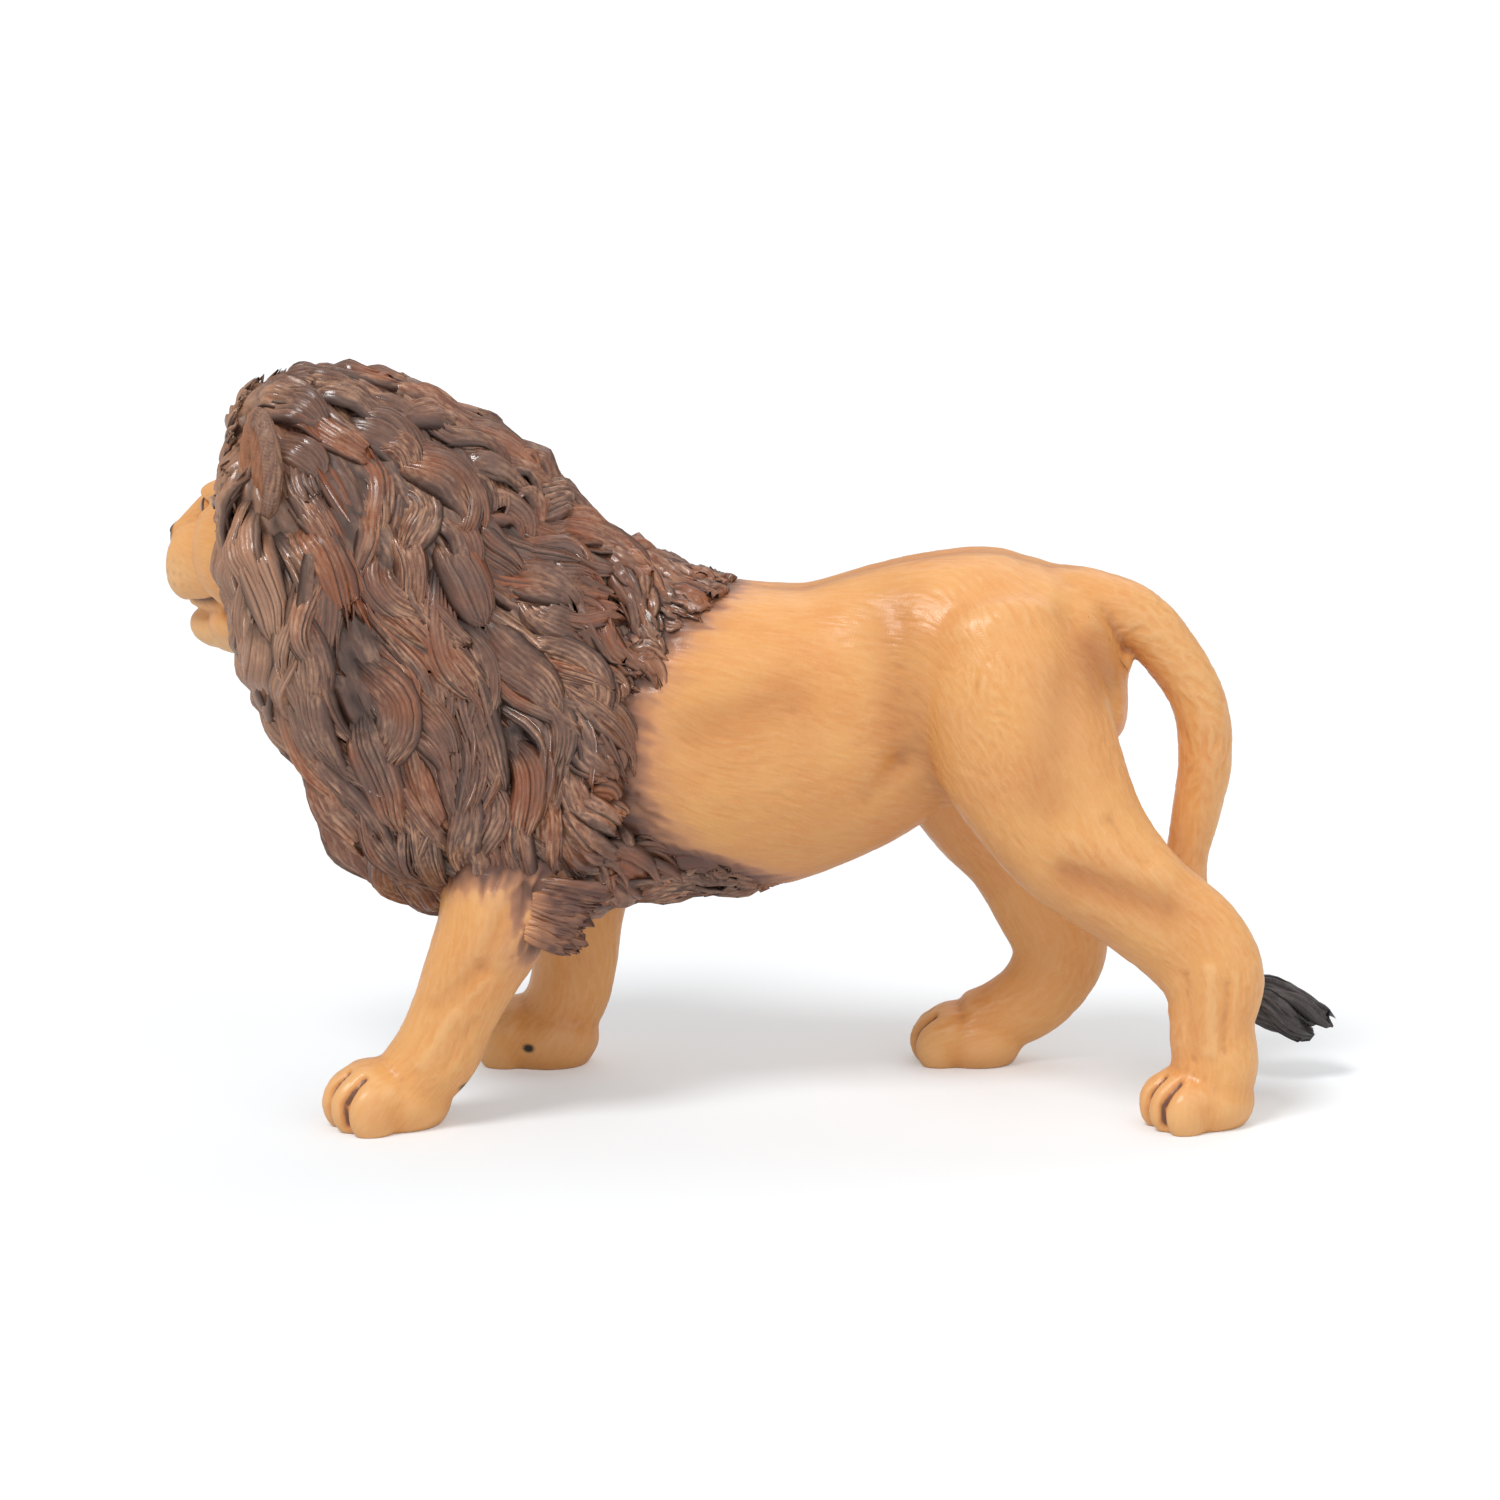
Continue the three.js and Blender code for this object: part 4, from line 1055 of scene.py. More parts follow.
sunk = everywhere + atEar * smooth(7.5, 3.5, earAway) + atCrown * onCrown[:, None]
lines, outs = laidOnBody(lines - outs * sunk[..., None], outs)
small, broad = ways >= locks["small"], widths > locks["broad"]
locksOf = {  # which locks, strands in each and rings along each
    "mane_locks_left": (stays & (sides > 0) & ~small & broad, 9, 12),
    "mane_locks_right": (stays & (sides < 0) & ~small & broad, 9, 12),
    "mane_thin_locks": (stays & ~small & ~broad, 6, 11),
    "mane_tufts": (stays & small, 4, 9),
}
hair = bmesh.new()
addTube(hair, placeMane, sides=260, rings=120)
maneObject = objectFrom("mane_hair", hair)
maneObject.data.shade_smooth()
points = placeOf(maneObject)
normals = normalsOf(maneObject)
run = alongSkin(np.broadcast_to(np.array([0.35, 0, -0.95]), points.shape), normals)
grain = np.abs(strands(points, run, *mane["grain"]))
movePoints(maneObject, points + normals * mane["grainDepth"] * np.minimum(grain, 2)[:, None])
# painted shade: the base, seen only in the gaps between the locks, is painted dark, darkest in the
# hollows of its grain
paint(maneObject, deep=mix(0.8, 0.35, smooth(0, 1.2, grain)), run=run)
maneObjects = [maneObject]
for name, (chosen, strandCount, ringCount) in locksOf.items():
    thick = widths[chosen] * 2 * locks["thickness"] * chance.uniform(0.8, 1.25, chosen.sum())
    thick *= mix(1.1, 0.55, smooth(0.55, 0.85, ways[chosen]))
    paths = [rows[chosen] for rows in (lines, outs, runs)]
    maneObjects.append(leafLocks(name, paths, widths[chosen], thick, strandCount, ringCount))
    print(name, chosen.sum(), len(maneObjects[-1].data.polygons))

# the ruff: locks from inside the edge of the face, out over the front rim of the mane
ruff = {"locks": 30, "start": 0.56, "rise": 1.3, "width": 3.6, "thickness": 0.25}
count = ruff["locks"]
ruffPaths = []
for side in both:
    turns = math.pi * (np.arange(count) + chance.uniform(0.1, 0.9, count)) / count
    middle = maneMiddle(np.zeros(count))
    rim = maneSkin(np.zeros(count), turns, np.full(count, side))
    roots = mix(middle, rim, ruff["start"])
    tips = maneSkin(chance.uniform(0.015, 0.05, count), turns, np.full(count, side), 0.3)
    outs = unit(headTurn[:, 0] + 0.8 * unit(rim - middle))
    ruffPaths.append(bentLocks(roots, tips, outs, chance.uniform(-0.7, 0.7, count), ruff["rise"]))
paths = [np.concatenate(rows) for rows in zip(*ruffPaths)]
widths = ruff["width"] / 2 * chance.uniform(0.7, 1.3, len(paths[0]))
maneObjects.append(leafLocks("mane_ruff", paths, widths, widths * 2 * ruff["thickness"], 6, 12))
print("mane_ruff", len(widths), len(maneObjects[-1].data.polygons))
for obj in maneObjects:
    points = placeOf(obj)
    fromEnd = points[:, 0] - maneEnd(points[:, 2])
    spray = smooth(-7, 1.5, fromEnd + noiseAt(points, 3.0))
    paint(obj, spray=spray, ruff=smooth(-56, -61, points[:, 0] + 0.25 * points[:, 1]))

tuft = {
    "length": 12.3,
    "width": 6.4,
    "locks": 13,
    "taper": ([0, 0.3, 0.7, 0.9, 1], [0.5, 0.9, 1.0, 0.8, 0.35]),
    "core": ([0, 0.2, 0.6, 1], [0.3, 0.4, 0.36, 0.12]),  # half width of the middle, of the width
    "coreReach": 0.85,
    "rootRing": (0.16, 0.2),  # radius of the roots of the inner and the outer locks, of the width
    "tipRing": (0.1, 0.27),
    "sink": 0.9,  # of the roots into the tail
}
count = tuft["locks"]
at, tangent, sideways, upward = (rows[0] for rows in framesOf(tail, 1.0))
along = unit(tangent * (1, 1, 0.35))


def ringAt(turn):
    return np.cos(turn)[:, None] * upward + np.sin(turn)[:, None] * sideways


turns = np.linspace(0, 2 * math.pi, count, endpoint=False) + chance.uniform(-0.2, 0.2, count)
ring = ringAt(turns)
inner = (np.arange(count) % 3 == 0)[:, None]
reach = tuft["length"] * chance.uniform(0.8, 1.0, (count, 1))
roots = at - along * tuft["sink"] + ring * tuft["width"] * np.where(inner, *tuft["rootRing"])
tips = at + along * reach + ring * tuft["width"] * np.where(inner, *tuft["tipRing"]) - (0, 0, 0.3)
paths = bentLocks(roots, tips, ring, chance.uniform(-0.8, 0.8, count))
widths = chance.uniform(1.8, 2.4, count)
tuftObject = leafLocks("tail_tuft_hair", paths, widths, widths * 0.7, 5, 12, tuft["taper"])


def placeCore(z, turn, radius):
    half = tuft["width"] * np.interp(z, *tuft["core"]) * radius
    reach = z * tuft["length"] * tuft["coreReach"]
    return at + along * reach[:, None] + ringAt(turn) * half[:, None]


hair = bmesh.new()
hair.from_mesh(tuftObject.data)
addTube(hair, placeCore, sides=24, rings=14)
hair.to_mesh(tuftObject.data)
hair.free()
tuftObject.data.shade_smooth()
print("tail tuft", len(tuftObject.data.polygons))

elbow = {
    "shift": {"left_foreleg": 0.0, "right_foreleg": 4.0},  # along the lion
    "ends": [(-26.2, 30.4), (-27.6, 24.2)],  # X and Z of the line of roots
    "out": 3.6,  # from the middle of the paw
    "sink": 1.1,
    "locks": 42,
    "length": 9.4,
    "width": 2.2,
    "thickness": 0.225,
}
elbowTufts = {}
count = elbow["locks"]
drop = np.linspace(0, 1, count)[:, None]
layer = (np.arange(count) % 4)[:, None] / 2
for name, shift in elbow["shift"].items():
    side = legs[name]["side"]
    across = pawPoint(legs[name], (0, 0, 0))[1] + side * elbow["out"]
    ends = [np.array([x + shift, across, z]) for x, z in elbow["ends"]]
    roots = mix(*ends, drop) - side * layer * (0, 1.6, 0) + chance.uniform(-0.3, 0.3, (count, 3))
    outs = unit(np.array([0.35, side * 0.9, 0.1]) + chance.uniform(-0.15, 0.15, (count, 3)))
    for k, root in enumerate(roots):
        near, normal = onSkin(root)
        roots[k] = near - elbow["sink"] * normal
    reach = elbow["length"] * chance.uniform(0.9, 1.05, (count, 1)) * (1.0 - 0.2 * drop)
    heading = mix(np.array([1.0, 0, -0.2]), np.array([0.9, 0, -0.4]), drop)
    tips = roots + unit(heading) * reach - side * np.array([0, 0.8, 0])
    paths = bentLocks(roots, tips, outs, chance.uniform(-0.25, 0.25, count), rise=1.1)
    widths = elbow["width"] / 2 * chance.uniform(0.7, 1.2, count)
    thick = widths * 2 * elbow["thickness"]
    elbowTufts[name] = leafLocks("elbow", paths, widths, thick, 4, 9, tuft["taper"])
    points = placeOf(elbowTufts[name])
    brownness = np.clip(0.85 + 0.25 * noiseAt(points, 0.9), 0, 1)
    fromRoots = points[:, 0] - shift + noiseAt(points, 1.2)
    paint(elbowTufts[name], spray=brownness * smooth(-29.0, -22.5, fromRoots))

skull = bmesh.new()
headEggs = [  # forward, left, up and the three half sizes, tip, mirrored
    (0, 0, 0.03, 0.34, 0.47, 0.42, 0, False),
    (0.17, 0, -0.45, 0.28, 0.29, 0.16, 8, False),
    (0.16, 0.25, -0.12, 0.24, 0.24, 0.28, 0, True),
    (0.2, 0.26, 0.0, 0.2, 0.16, 0.13, 12, True),
    (0.46, 0.13, -0.27, 0.125, 0.14, 0.135, 0, True),
    (0.5, 0, -0.2, 0.1, 0.15, 0.12, 0, False),
    (0.295, 0.185, 0.13, 0.1, 0.13, 0.06, 6, True),
    (0.575, 0, -0.115, 0.05, 0.13, 0.068, 0, False),
    (0.43, 0, -0.52, 0.12, 0.13, 0.1, -6, False),
    (0.3, 0, -0.54, 0.2, 0.14, 0.1, 0, False),
    (0.22, 0.13, -0.46, 0.18, 0.09, 0.09, 0, True),
]
for forward, left, up, *half, tip, mirrored in headEggs:
    turn = Matrix.Rotation(math.radians(tip), 4, "Y")
    for side in both if mirrored else (1,):
        addEgg(skull, headPart((forward, left, up), side), headPart(half), turn)


def headTube(rows):
    middles = spline(np.array([(forward, 0, up) for forward, up, _, _ in rows]) * headScale)
    sizes = spline(np.array([half for _, _, *half in rows]) * (head["height"], head["width"]))

    def place(z, turn, radius):
        size = sizes(z) * radius[:, None]
        ring = np.stack([z * 0, size[:, 1] * np.sin(turn), size[:, 0] * np.cos(turn)], 1)
        return middles(z) + ring

    return place


muzzleRows = [  # forward and up, half height and half width
    (0.1, -0.1, 0.36, 0.4),
    (0.3, -0.18, 0.29, 0.34),
    (0.46, -0.215, 0.235, 0.28),
    (0.55, -0.23, 0.18, 0.235),
    (0.588, -0.235, 0.125, 0.16),
]
bridgeRows = [
    (0.16, 0.21, 0.16, 0.24),
    (0.335, 0.095, 0.12, 0.16),
    (0.47, -0.01, 0.1, 0.135),
    (0.58, -0.1, 0.06, 0.11),
]
addTube(skull, headTube(muzzleRows), sides=40, rings=24)
addTube(skull, headTube(bridgeRows), sides=32, rings=16)
headObject = remeshed("head_vinyl", skull, head["voxel"], rounds=14)


# how near each point is to a stretch of the face, on either side
def onFace(points, start, end, radius, sides=both):
    lines = [nearTo(points, headPart(start, side), headPart(end, side), radius) for side in sides]
    return np.max(lines, axis=0)


mouthLines = [
    ((0.575, 0.0, -0.36), (0.52, 0.15, -0.42), 0.55, -0.75, True),
    ((0.52, 0.15, -0.42), (0.33, 0.25, -0.37), 0.6, -0.8, True),
]
faceLines = [  # start, end, radius, depth in millimetres, mirrored
    ((0.345, 0.215, 0.06), (0.345, 0.215, 0.06), 2.1, -0.9, True),
    ((0.4, 0.13, 0.03), (0.47, 0.11, -0.06), 1.1, -0.35, True),
    ((0.575, 0, -0.175), (0.575, 0, -0.36), 0.5, -0.45, False),
    *mouthLines,
    ((0.33, 0.25, -0.37), (0.24, 0.27, -0.42), 0.7, -0.5, True),
    ((0.612, 0.06, -0.13), (0.6, 0.1, -0.115), 0.42, -0.6, True),
    ((0.58, 0.12, -0.16), (0.52, 0.15, -0.13), 0.5, -0.35, True),
    ((0.22, 0, 0.4), (0.36, 0, 0.2), 1.0, -0.3, False),
    ((0.36, 0, 0.2), (0.5, 0, 0.0), 1.2, -0.2, False),
    ((0.24, 0.1, 0.34), (0.3, 0.12, 0.24), 1.0, 0.25, True),
    ((0.3, 0.32, 0.02), (0.42, 0.2, -0.1), 1.3, -0.3, True),
    ((0.46, 0, -0.5), (0.43, 0, -0.62), 0.7, -0.2, False),
]
points = placeOf(headObject)
normals = normalsOf(headObject)
relief = np.zeros(len(points))
for start, end, radius, depth, mirrored in faceLines:
    for side in both if mirrored else (1,):
        relief += depth * onFace(points, start, end, radius, (side,))
mouth = np.max([onFace(points, *line[:3]) for line in mouthLines], axis=0)
eyeAway = awayFrom(points, [headPart(head["eyePlace"], side) for side in both])
relief += 0.4 * np.exp(-(((eyeAway - head["eyeRadius"] - 0.55) / 0.5) ** 2))
points = points + normals * relief[:, None]
movePoints(headObject, points)
normals = normalsOf(headObject)
fromNose = np.linalg.norm(points - headPart((0.6, 0, -0.1)), axis=1)
run = alongSkin(points - headPart((0.62, 0, -0.1)), normals)
fur = -np.abs(strands(points, run, *head["fur"]))
fur *= smooth(2, 5, fromNose) * smooth(1.8, 2.6, eyeAway)
points = points + normals * (head["furDepth"] * fur)[:, None]
movePoints(headObject, points)
whiskerPads = onFace(points, (0.5, 0.13, -0.28), (0.5, 0.13, -0.28), 3.4)
chin = onFace(points, (0.42, 0, -0.56), (0.3, 0, -0.6), 3.6)
tear = onFace(points, (0.39, 0.14, 0.02), (0.47, 0.13, -0.1), 0.55)
dots = np.zeros(len(points))
for row, k, side in itertools.product(range(3), range(4), both):
    spot = headPart((0.545 - 0.04 * k, 0.17 + 0.025 * k - 0.01 * row, -0.2 - 0.052 * row), side)
    flat = np.linalg.norm((points - spot)[:, [0, 2]], axis=1)
    dots = np.maximum(dots, np.exp(-((flat / 0.28) ** 2)) * (points[:, 1] * side > 1.5))
noseTip = np.linalg.norm((points - headPart((0.6, 0, -0.118))) / (2.2, 3.0, 1.75), axis=1)
nose = np.maximum(smooth(1.12, 0.95, noseTip), onFace(points, (0.6, 0, -0.17), (0.6, 0, -0.3), 0.4))
look = unit(np.array(head["look"]))
onLeft = normals.copy()  # the normals as they are on the left half of the face
onLeft[:, 1] *= np.sign(points[:, 1])
lids = np.exp(-(((eyeAway - head["eyeRadius"]) / 0.42) ** 4)) * smooth(0.1, 0.5, onLeft @ look)
marks = [nose, 0.95 * lids, 0.85 * mouth**2, 0.75 * tear, 0.5 * dots * whiskerPads]
paint(
    headObject,
    black=np.clip(np.max(marks, axis=0), 0, 1),
    cream=np.clip(0.8 * whiskerPads + 0.8 * chin, 0, 1),
    cavity=cavityOf(headObject, rounds=12),
    run=run @ headTurn.T,
)
movePoints(headObject, onHead(points))
print("head", len(points))

eyes = bmesh.new()
eyeMiddles = [onHead(headPart(head["eyePlace"], side)) for side in both]
for middle in eyeMiddles:
    addEgg(eyes, middle, (head["eyeRadius"],) * 3, subdivisions=4)
eyeObject = objectFrom("eyes", eyes)
eyeObject.data.shade_smooth()
points = placeOf(eyeObject)
gaze = np.zeros(len(points))
for side, middle in zip(both, eyeMiddles):
    local = (points - middle) / head["eyeRadius"]
    own = np.linalg.norm(local, axis=1) < 1.01
    gaze = np.where(own, np.maximum(gaze, local @ (headTurn @ (look * (1, side, 1)))), gaze)
paint(eyeObject, gaze=gaze)

ears = bmesh.new()
earHalf = np.array([ear["width"], ear["height"], ear["thickness"]]) / 2
leaning = np.array(ear["leaning"])
earAxes = {}
for side in both:
    facing = unit(np.array(ear["facing"]) * (1, side, 1))
    upward = unit(leaning - facing * (facing @ leaning))
    axes = earAxes[side] = np.stack([np.cross(upward, facing), upward, facing], 1)
    addEgg(ears, headPart(ear["place"], side), earHalf, Matrix(axes.tolist()).to_4x4())
earObject = remeshed("ears", ears, ear["voxel"], rounds=2)
points = placeOf(earObject)
normals = normalsOf(earObject)
inner, rim = np.zeros((2, len(points)))
for side, axes in earAxes.items():
    own = points[:, 1] * side > 0
    local = (points - headPart(ear["place"], side)) @ axes / earHalf
    bowl = np.hypot((local[:, 0] + 0.05) / 0.76, (local[:, 1] + 0.05) / 0.84)
    facingOut = own * smooth(0.15, 0.5, normals @ axes[:, 2])
    inner = np.maximum(inner, facingOut * smooth(1.0, 0.72, bowl))
    front = own * smooth(-0.1, 0.4, -side * local[:, 0])
    rim = np.maximum(rim, front * smooth(0.8, 1.0, bowl))
run = alongSkin(np.broadcast_to(np.array([-0.25, 0, 1.0]), points.shape), normals)
fur = -np.abs(strands(points, run, *ear["fur"]))
points = points + normals * (ear["furDepth"] * fur - ear["bowl"] * inner)[:, None]
movePoints(earObject, points)
paint(earObject, inner=inner, rim=rim, cavity=cavityOf(earObject, rounds=10), run=run @ headTurn.T)
movePoints(earObject, onHead(points))


def fromScreen(red, green, blue):
    return (*(((c / 255 + 0.055) / 1.055) ** 2.4 for c in (red, green, blue)), 1)


paints = {  # red, green and blue as on a screen
    "tan": (234, 168, 98),
    "warmTan": (226, 153, 86),
    "paleTan": (246, 200, 142),
    "shade": (176, 108, 62),
    "rosy": (196, 136, 104),
    "spray": (108, 74, 62),
    "claw": (44, 36, 34),
    "brown": (109, 77, 64),
    "redBrown": (150, 84, 50),
    "lightBrown": (202, 154, 122),
    "shadowBrown": (46, 32, 29),
    "charcoal": (52, 46, 45),
    "tuftShade": (26, 22, 22),
    "ash": (86, 79, 77),
    "cream": (236, 196, 146),
    "liner": (50, 36, 32),
    "amber": (196, 128, 42),
    "ring": (110, 62, 22),
    "pupil": (14, 11, 10),
}
paints = {name: fromScreen(*colour) for name, colour in paints.items()}


class Finish:
    def __init__(self, name, roughness, specular=0.5):
        self.material = bpy.data.materials.new(name)
        self.material.use_nodes = True
        self.nodes = self.material.node_tree.nodes
        self.shader = self.nodes["Principled BSDF"]
        self.shader.inputs["Roughness"].default_value = roughness
        self.shader.inputs["Specular IOR Level"].default_value = specular
        self.place = self.node("ShaderNodeTexCoord").outputs["Object"]

    def node(self, kind, inputs=(), **settings):
        node = self.nodes.new(kind)
        for key, value in settings.items():
            setattr(node, key, value)
        for key, value in dict(inputs).items():
            self.feed(value, node.inputs[key])
        return node

    def feed(self, value, socket):
        if isinstance(value, bpy.types.NodeSocket):
            self.material.node_tree.links.new(value, socket)
        else:
            socket.default_value = value

    def painted(self, name, output="Fac"):
        return self.node("ShaderNodeAttribute", attribute_name=name).outputs[output]

    def level(self, value, low, high, lowTo=0.0, highTo=1.0):
        inputs = {0: value, 1: low, 2: high, 3: lowTo, 4: highTo}
        return self.node("ShaderNodeMapRange", inputs).outputs[0]

    def math(self, operation, a, b):
        return self.node("ShaderNodeMath", {0: a, 1: b}, operation=operation).outputs[0]

    def noise(self, scale, detail=2.0, vector=None):
        inputs = {"Vector": vector or self.place, "Scale": scale, "Detail": detail}
        return self.node("ShaderNodeTexNoise", inputs).outputs["Fac"]

    # noise drawn out along the painted run of the fur
    def streaks(self, scale, reach, steps=5):
        run = self.painted("run", "Vector")
        total = None
        for k in range(steps):
            offset = reach * (2 * k / (steps - 1) - 1)
            push = self.node("ShaderNodeVectorMath", {0: run, "Scale": offset}, operation="SCALE")
            moved = self.node("ShaderNodeVectorMath", {0: self.place, 1: push.outputs[0]})
            value = self.noise(scale, 1.0, moved.outputs[0])
            total = value if total is None else self.math("ADD", total, value)
        return self.math("MULTIPLY", total, 1 / steps)

    # coats over a first paint: each covers as its value goes from low to high, up to its share
    def colour(self, first, *coats):
        colour = paints[first]
        for value, low, high, share, name in coats:
            if isinstance(value, str):
                value = self.painted(value)
            inputs = {0: self.level(value, low, high, 0.0, share), 6: colour, 7: paints[name]}
            colour = self.node("ShaderNodeMix", inputs, data_type="RGBA").outputs[2]
        self.feed(colour, self.shader.inputs["Base Color"])

    def bump(self, height, distance, strength):
        inputs = {"Height": height, "Distance": distance, "Strength": strength}
        self.feed(self.node("ShaderNodeBump", inputs).outputs[0], self.shader.inputs["Normal"])


def bodyFinish():
    vinyl = Finish("tanVinyl", 0.46)
    streaks = vinyl.streaks(scale=2600, reach=0.0007)
    vinyl.colour(
        "tan",
        (vinyl.noise(130, detail=3.0), 0.35, 0.7, 1.0, "warmTan"),
        (streaks, 0.42, 0.6, 0.22, "paleTan"),
        # paler on the ridges and darker in the hollows: painted highlight and painted shade
        ("cavity", -0.02, -0.09, 0.35, "paleTan"),
        ("cavity", 0.02, 0.2, 0.7, "shade"),
        ("shade", 0.0, 1.0, 0.85, "shade"),
        ("spray", 0.0, 0.5, 0.8, "rosy"),
        ("spray", 0.3, 0.9, 1.0, "spray"),
        ("tailEnd", 0.0, 1.0, 0.9, "spray"),
        # painted shade in the toe clefts
        ("cleft", 0.1, 0.5, 0.9, "spray"),
        ("claws", 0.2, 0.6, 1.0, "claw"),
    )
    rough = vinyl.level(vinyl.noise(420), 0.3, 0.7, 0.28, 0.44)
    vinyl.feed(rough, vinyl.shader.inputs["Roughness"])
    vinyl.bump(streaks, distance=0.00025, strength=0.5)
    return vinyl.material


def maneFinish():
    vinyl = Finish("maneVinyl", 0.36, 0.6)
    streaks = vinyl.streaks(scale=2100, reach=0.0008, steps=7)
    patches = vinyl.level(vinyl.noise(95), 0.4, 0.62)
    lighter = vinyl.level(vinyl.noise(140), 0.42, 0.62, 0.15, 0.85)
    redness = vinyl.math("MULTIPLY", patches, vinyl.level(vinyl.painted("tone"), 0.25, 0.8))
    ridges = vinyl.math("MULTIPLY", vinyl.level(streaks, 0.44, 0.6), lighter)
    vinyl.colour(
        "brown",
        (redness, 0.0, 1.0, 1.0, "redBrown"),
        (ridges, 0.0, 1.0, 1.0, "lightBrown"),
        ("ruff", 0.0, 1.0, 0.5, "lightBrown"),
        ("spray", 0.2, 1.0, 0.3, "shade"),
        # painted shade: dark brown in the strand grooves and in the gaps between the locks
        ("groove", 0.2, 1.0, 0.72, "shadowBrown"),
        ("deep", 0.1, 1.0, 0.92, "shadowBrown"),
    )
    rough = vinyl.level(vinyl.noise(300), 0.35, 0.65, 0.14, 0.4)
    rough = vinyl.math("MAXIMUM", rough, vinyl.level(vinyl.painted("deep"), 0.3, 0.9, 0.0, 0.7))
    vinyl.feed(rough, vinyl.shader.inputs["Roughness"])
    vinyl.bump(streaks, distance=0.0003, strength=0.5)
    return vinyl.material


def tuftFinish():
    vinyl = Finish("tuftVinyl", 0.4)
    streaks = vinyl.streaks(scale=2600, reach=0.0008)
    vinyl.colour(
        "charcoal",
        (streaks, 0.42, 0.6, 1.0, "ash"),
        # painted shade: near black in the grooves and the gaps of the tuft's locks
        ("groove", 0.1, 1.0, 0.9, "tuftShade"),
        ("deep", 0.1, 1.0, 0.9, "tuftShade"),
    )
    vinyl.bump(streaks, distance=0.0003, strength=0.5)
    return vinyl.material


def headFinish():
    vinyl = Finish("faceVinyl", 0.46)
    streaks = vinyl.streaks(scale=3000, reach=0.0006)
    vinyl.colour(
        "tan",
        (vinyl.noise(160), 0.35, 0.7, 1.0, "warmTan"),
        (streaks, 0.42, 0.6, 0.25, "paleTan"),
        ("cream", 0.0, 1.0, 1.0, "cream"),
        # painted shade in the hollows of the face
        ("cavity", 0.02, 0.2, 0.7, "shade"),
        ("black", 0.0, 1.0, 1.0, "liner"),
    )
    vinyl.bump(streaks, distance=0.0002, strength=0.4)
    return vinyl.material


def eyeFinish():
    gloss = Finish("eyeGloss", 0.08)
    gloss.colour(
        "warmTan",
        ("gaze", 0.5, 0.6, 1.0, "pupil"),
        ("gaze", 0.62, 0.72, 1.0, "ring"),
        ("gaze", 0.72, 0.84, 1.0, "amber"),
        ("gaze", 0.9, 0.915, 1.0, "pupil"),
    )
    return gloss.material


def earFinish():
    vinyl = Finish("earVinyl", 0.45)
    streaks = vinyl.streaks(scale=2400, reach=0.0009)
    vinyl.colour(
        "brown",
        (streaks, 0.4, 0.6, 0.5, "lightBrown"),
        ("rim", 0.0, 1.0, 0.8, "shade"),
        ("inner", 0.1, 0.6, 0.55, "shade"),
        # painted shade in the hollows of the ears
        ("cavity", 0.0, 0.15, 0.7, "shadowBrown"),
    )
    vinyl.bump(streaks, distance=0.0003, strength=0.5)
    return vinyl.material


def finished(obj, node, material):
    movePoints(obj, placeOf(obj) + figure["shift"])
    obj.data.materials.clear()
    obj.data.materials.append(material)
    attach(obj, "root")
    if node:
        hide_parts(node)


tan = bodyFinish()
for name, keep in bodyPieces.items():
    piece = cutOut(name + "_vinyl", keep)
    if name in elbowTufts:
        bm = bmesh.new()
        for source in (piece, elbowTufts[name]):
            bm.from_mesh(source.data)
        bm.to_mesh(piece.data)
        bm.free()
        bpy.data.objects.remove(elbowTufts[name])
    finished(piece, name, tan)
    print(name, len(piece.data.polygons))
bpy.data.objects.remove(skinned)
brown = maneFinish()
for obj in maneObjects:
    finished(obj, "mane", brown)
finished(tuftObject, "tail_tuft", tuftFinish())
finished(headObject, "head", headFinish())
finished(eyeObject, None, eyeFinish())
finished(earObject, None, earFinish())

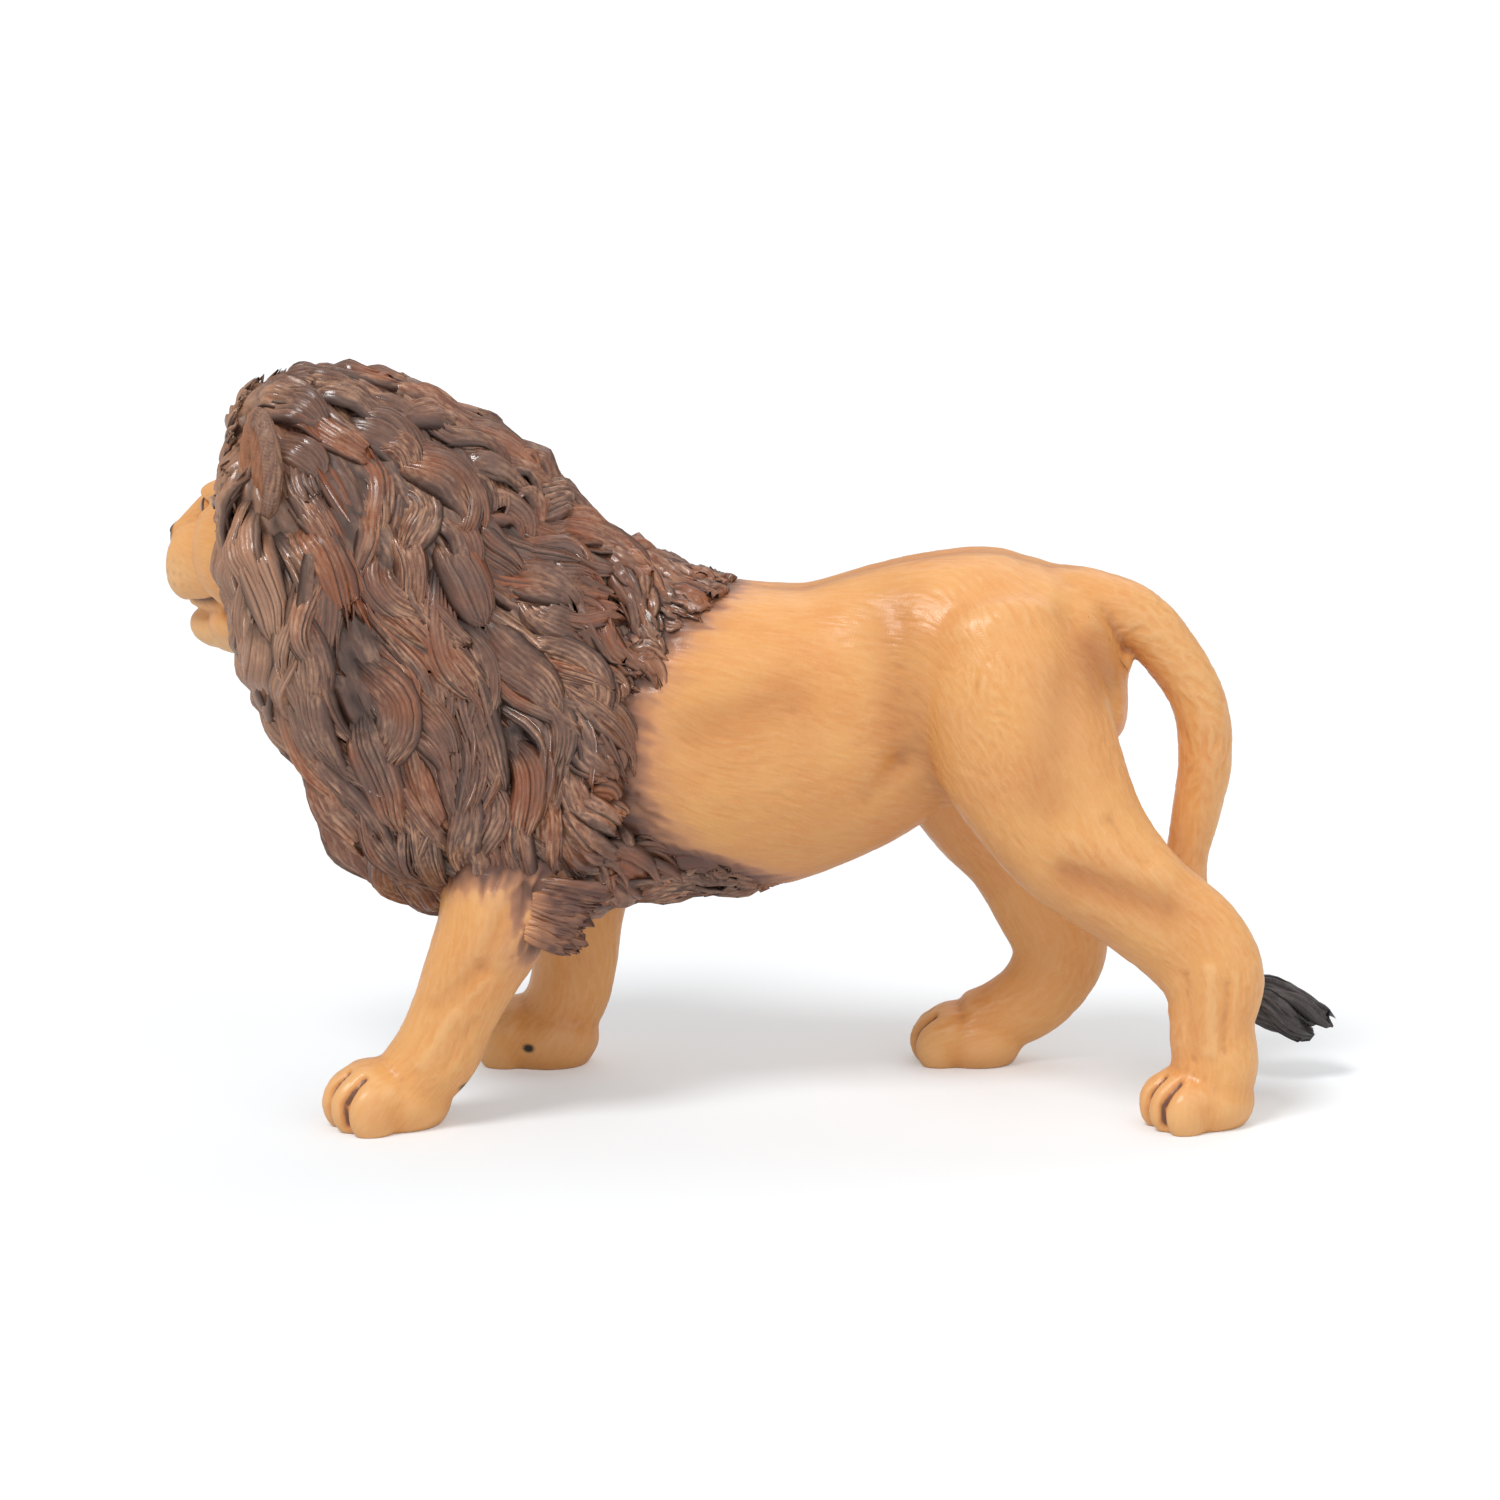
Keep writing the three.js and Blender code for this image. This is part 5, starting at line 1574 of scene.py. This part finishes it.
studio = {
    "distance": 800.0,
    "elevation": 12.5,
    "lookAt": (*figure["shift"][:2], 42.4),
    "lens": 159.9,
    "world": 0.5,  # light from all round, where the camera sees plain white
    "floor": fromScreen(222, 226, 229),
    "floorHalf": 8,
    "floorGlow": 0.24,  # for the camera only, so that the paper is as white as the background
    "lamps": [  # where the light comes from, how wide it is in degrees, strength
        ((-0.35, -0.45, 0.85), 20, 1.6),
        ((0.6, -0.65, 0.5), 60, 0.55),
        ((0.2, 0.6, 0.8), 50, 0.5),
    ],
}
scene = bpy.context.scene
view = math.radians(studio["elevation"])
target = Vector(studio["lookAt"]) * mm
camera = bpy.data.objects.new("camera", bpy.data.cameras.new("camera"))
camera.location = target + Vector((0, -math.cos(view), math.sin(view))) * studio["distance"] * mm
camera.rotation_euler = (target - camera.location).to_track_quat("-Z", "Y").to_euler()
camera.data.lens = studio["lens"]
camera.data.sensor_width = 36
camera.data.clip_start = 0.01
scene.collection.objects.link(camera)
scene.camera = camera

for k, (place, width, energy) in enumerate(studio["lamps"]):
    lamp = bpy.data.lights.new(f"softbox{k}", "SUN")
    lamp.energy = energy
    lamp.angle = math.radians(width)
    holder = bpy.data.objects.new(lamp.name, lamp)
    holder.rotation_euler = (-Vector(place)).to_track_quat("-Z", "Y").to_euler()
    scene.collection.objects.link(holder)

world = bpy.data.worlds.new("studio")
scene.world = world
world.use_nodes = True
tree = world.node_tree
background = tree.nodes["Background"]
background.inputs["Color"].default_value = (1, 1, 1, 1)
rays = tree.nodes.new("ShaderNodeLightPath")
strength = tree.nodes.new("ShaderNodeMapRange")
strength.inputs["To Min"].default_value = studio["world"]
strength.inputs["To Max"].default_value = 1.0
tree.links.new(rays.outputs["Is Camera Ray"], strength.inputs["Value"])
tree.links.new(strength.outputs[0], background.inputs["Strength"])

sheet = bmesh.new()
bmesh.ops.create_grid(sheet, x_segments=2, y_segments=2, size=studio["floorHalf"])
floor = objectFrom("floor", sheet)
paper = Finish("floorPaper", 0.9, 0.1)
paper.shader.inputs["Base Color"].default_value = studio["floor"]
paper.shader.inputs["Emission Color"].default_value = (1, 1, 1, 1)
seen = paper.node("ShaderNodeLightPath").outputs["Is Camera Ray"]
glow = paper.math("MULTIPLY", seen, studio["floorGlow"])
paper.feed(glow, paper.shader.inputs["Emission Strength"])
floor.data.materials.append(paper.material)
scene.view_settings.view_transform = "Standard"
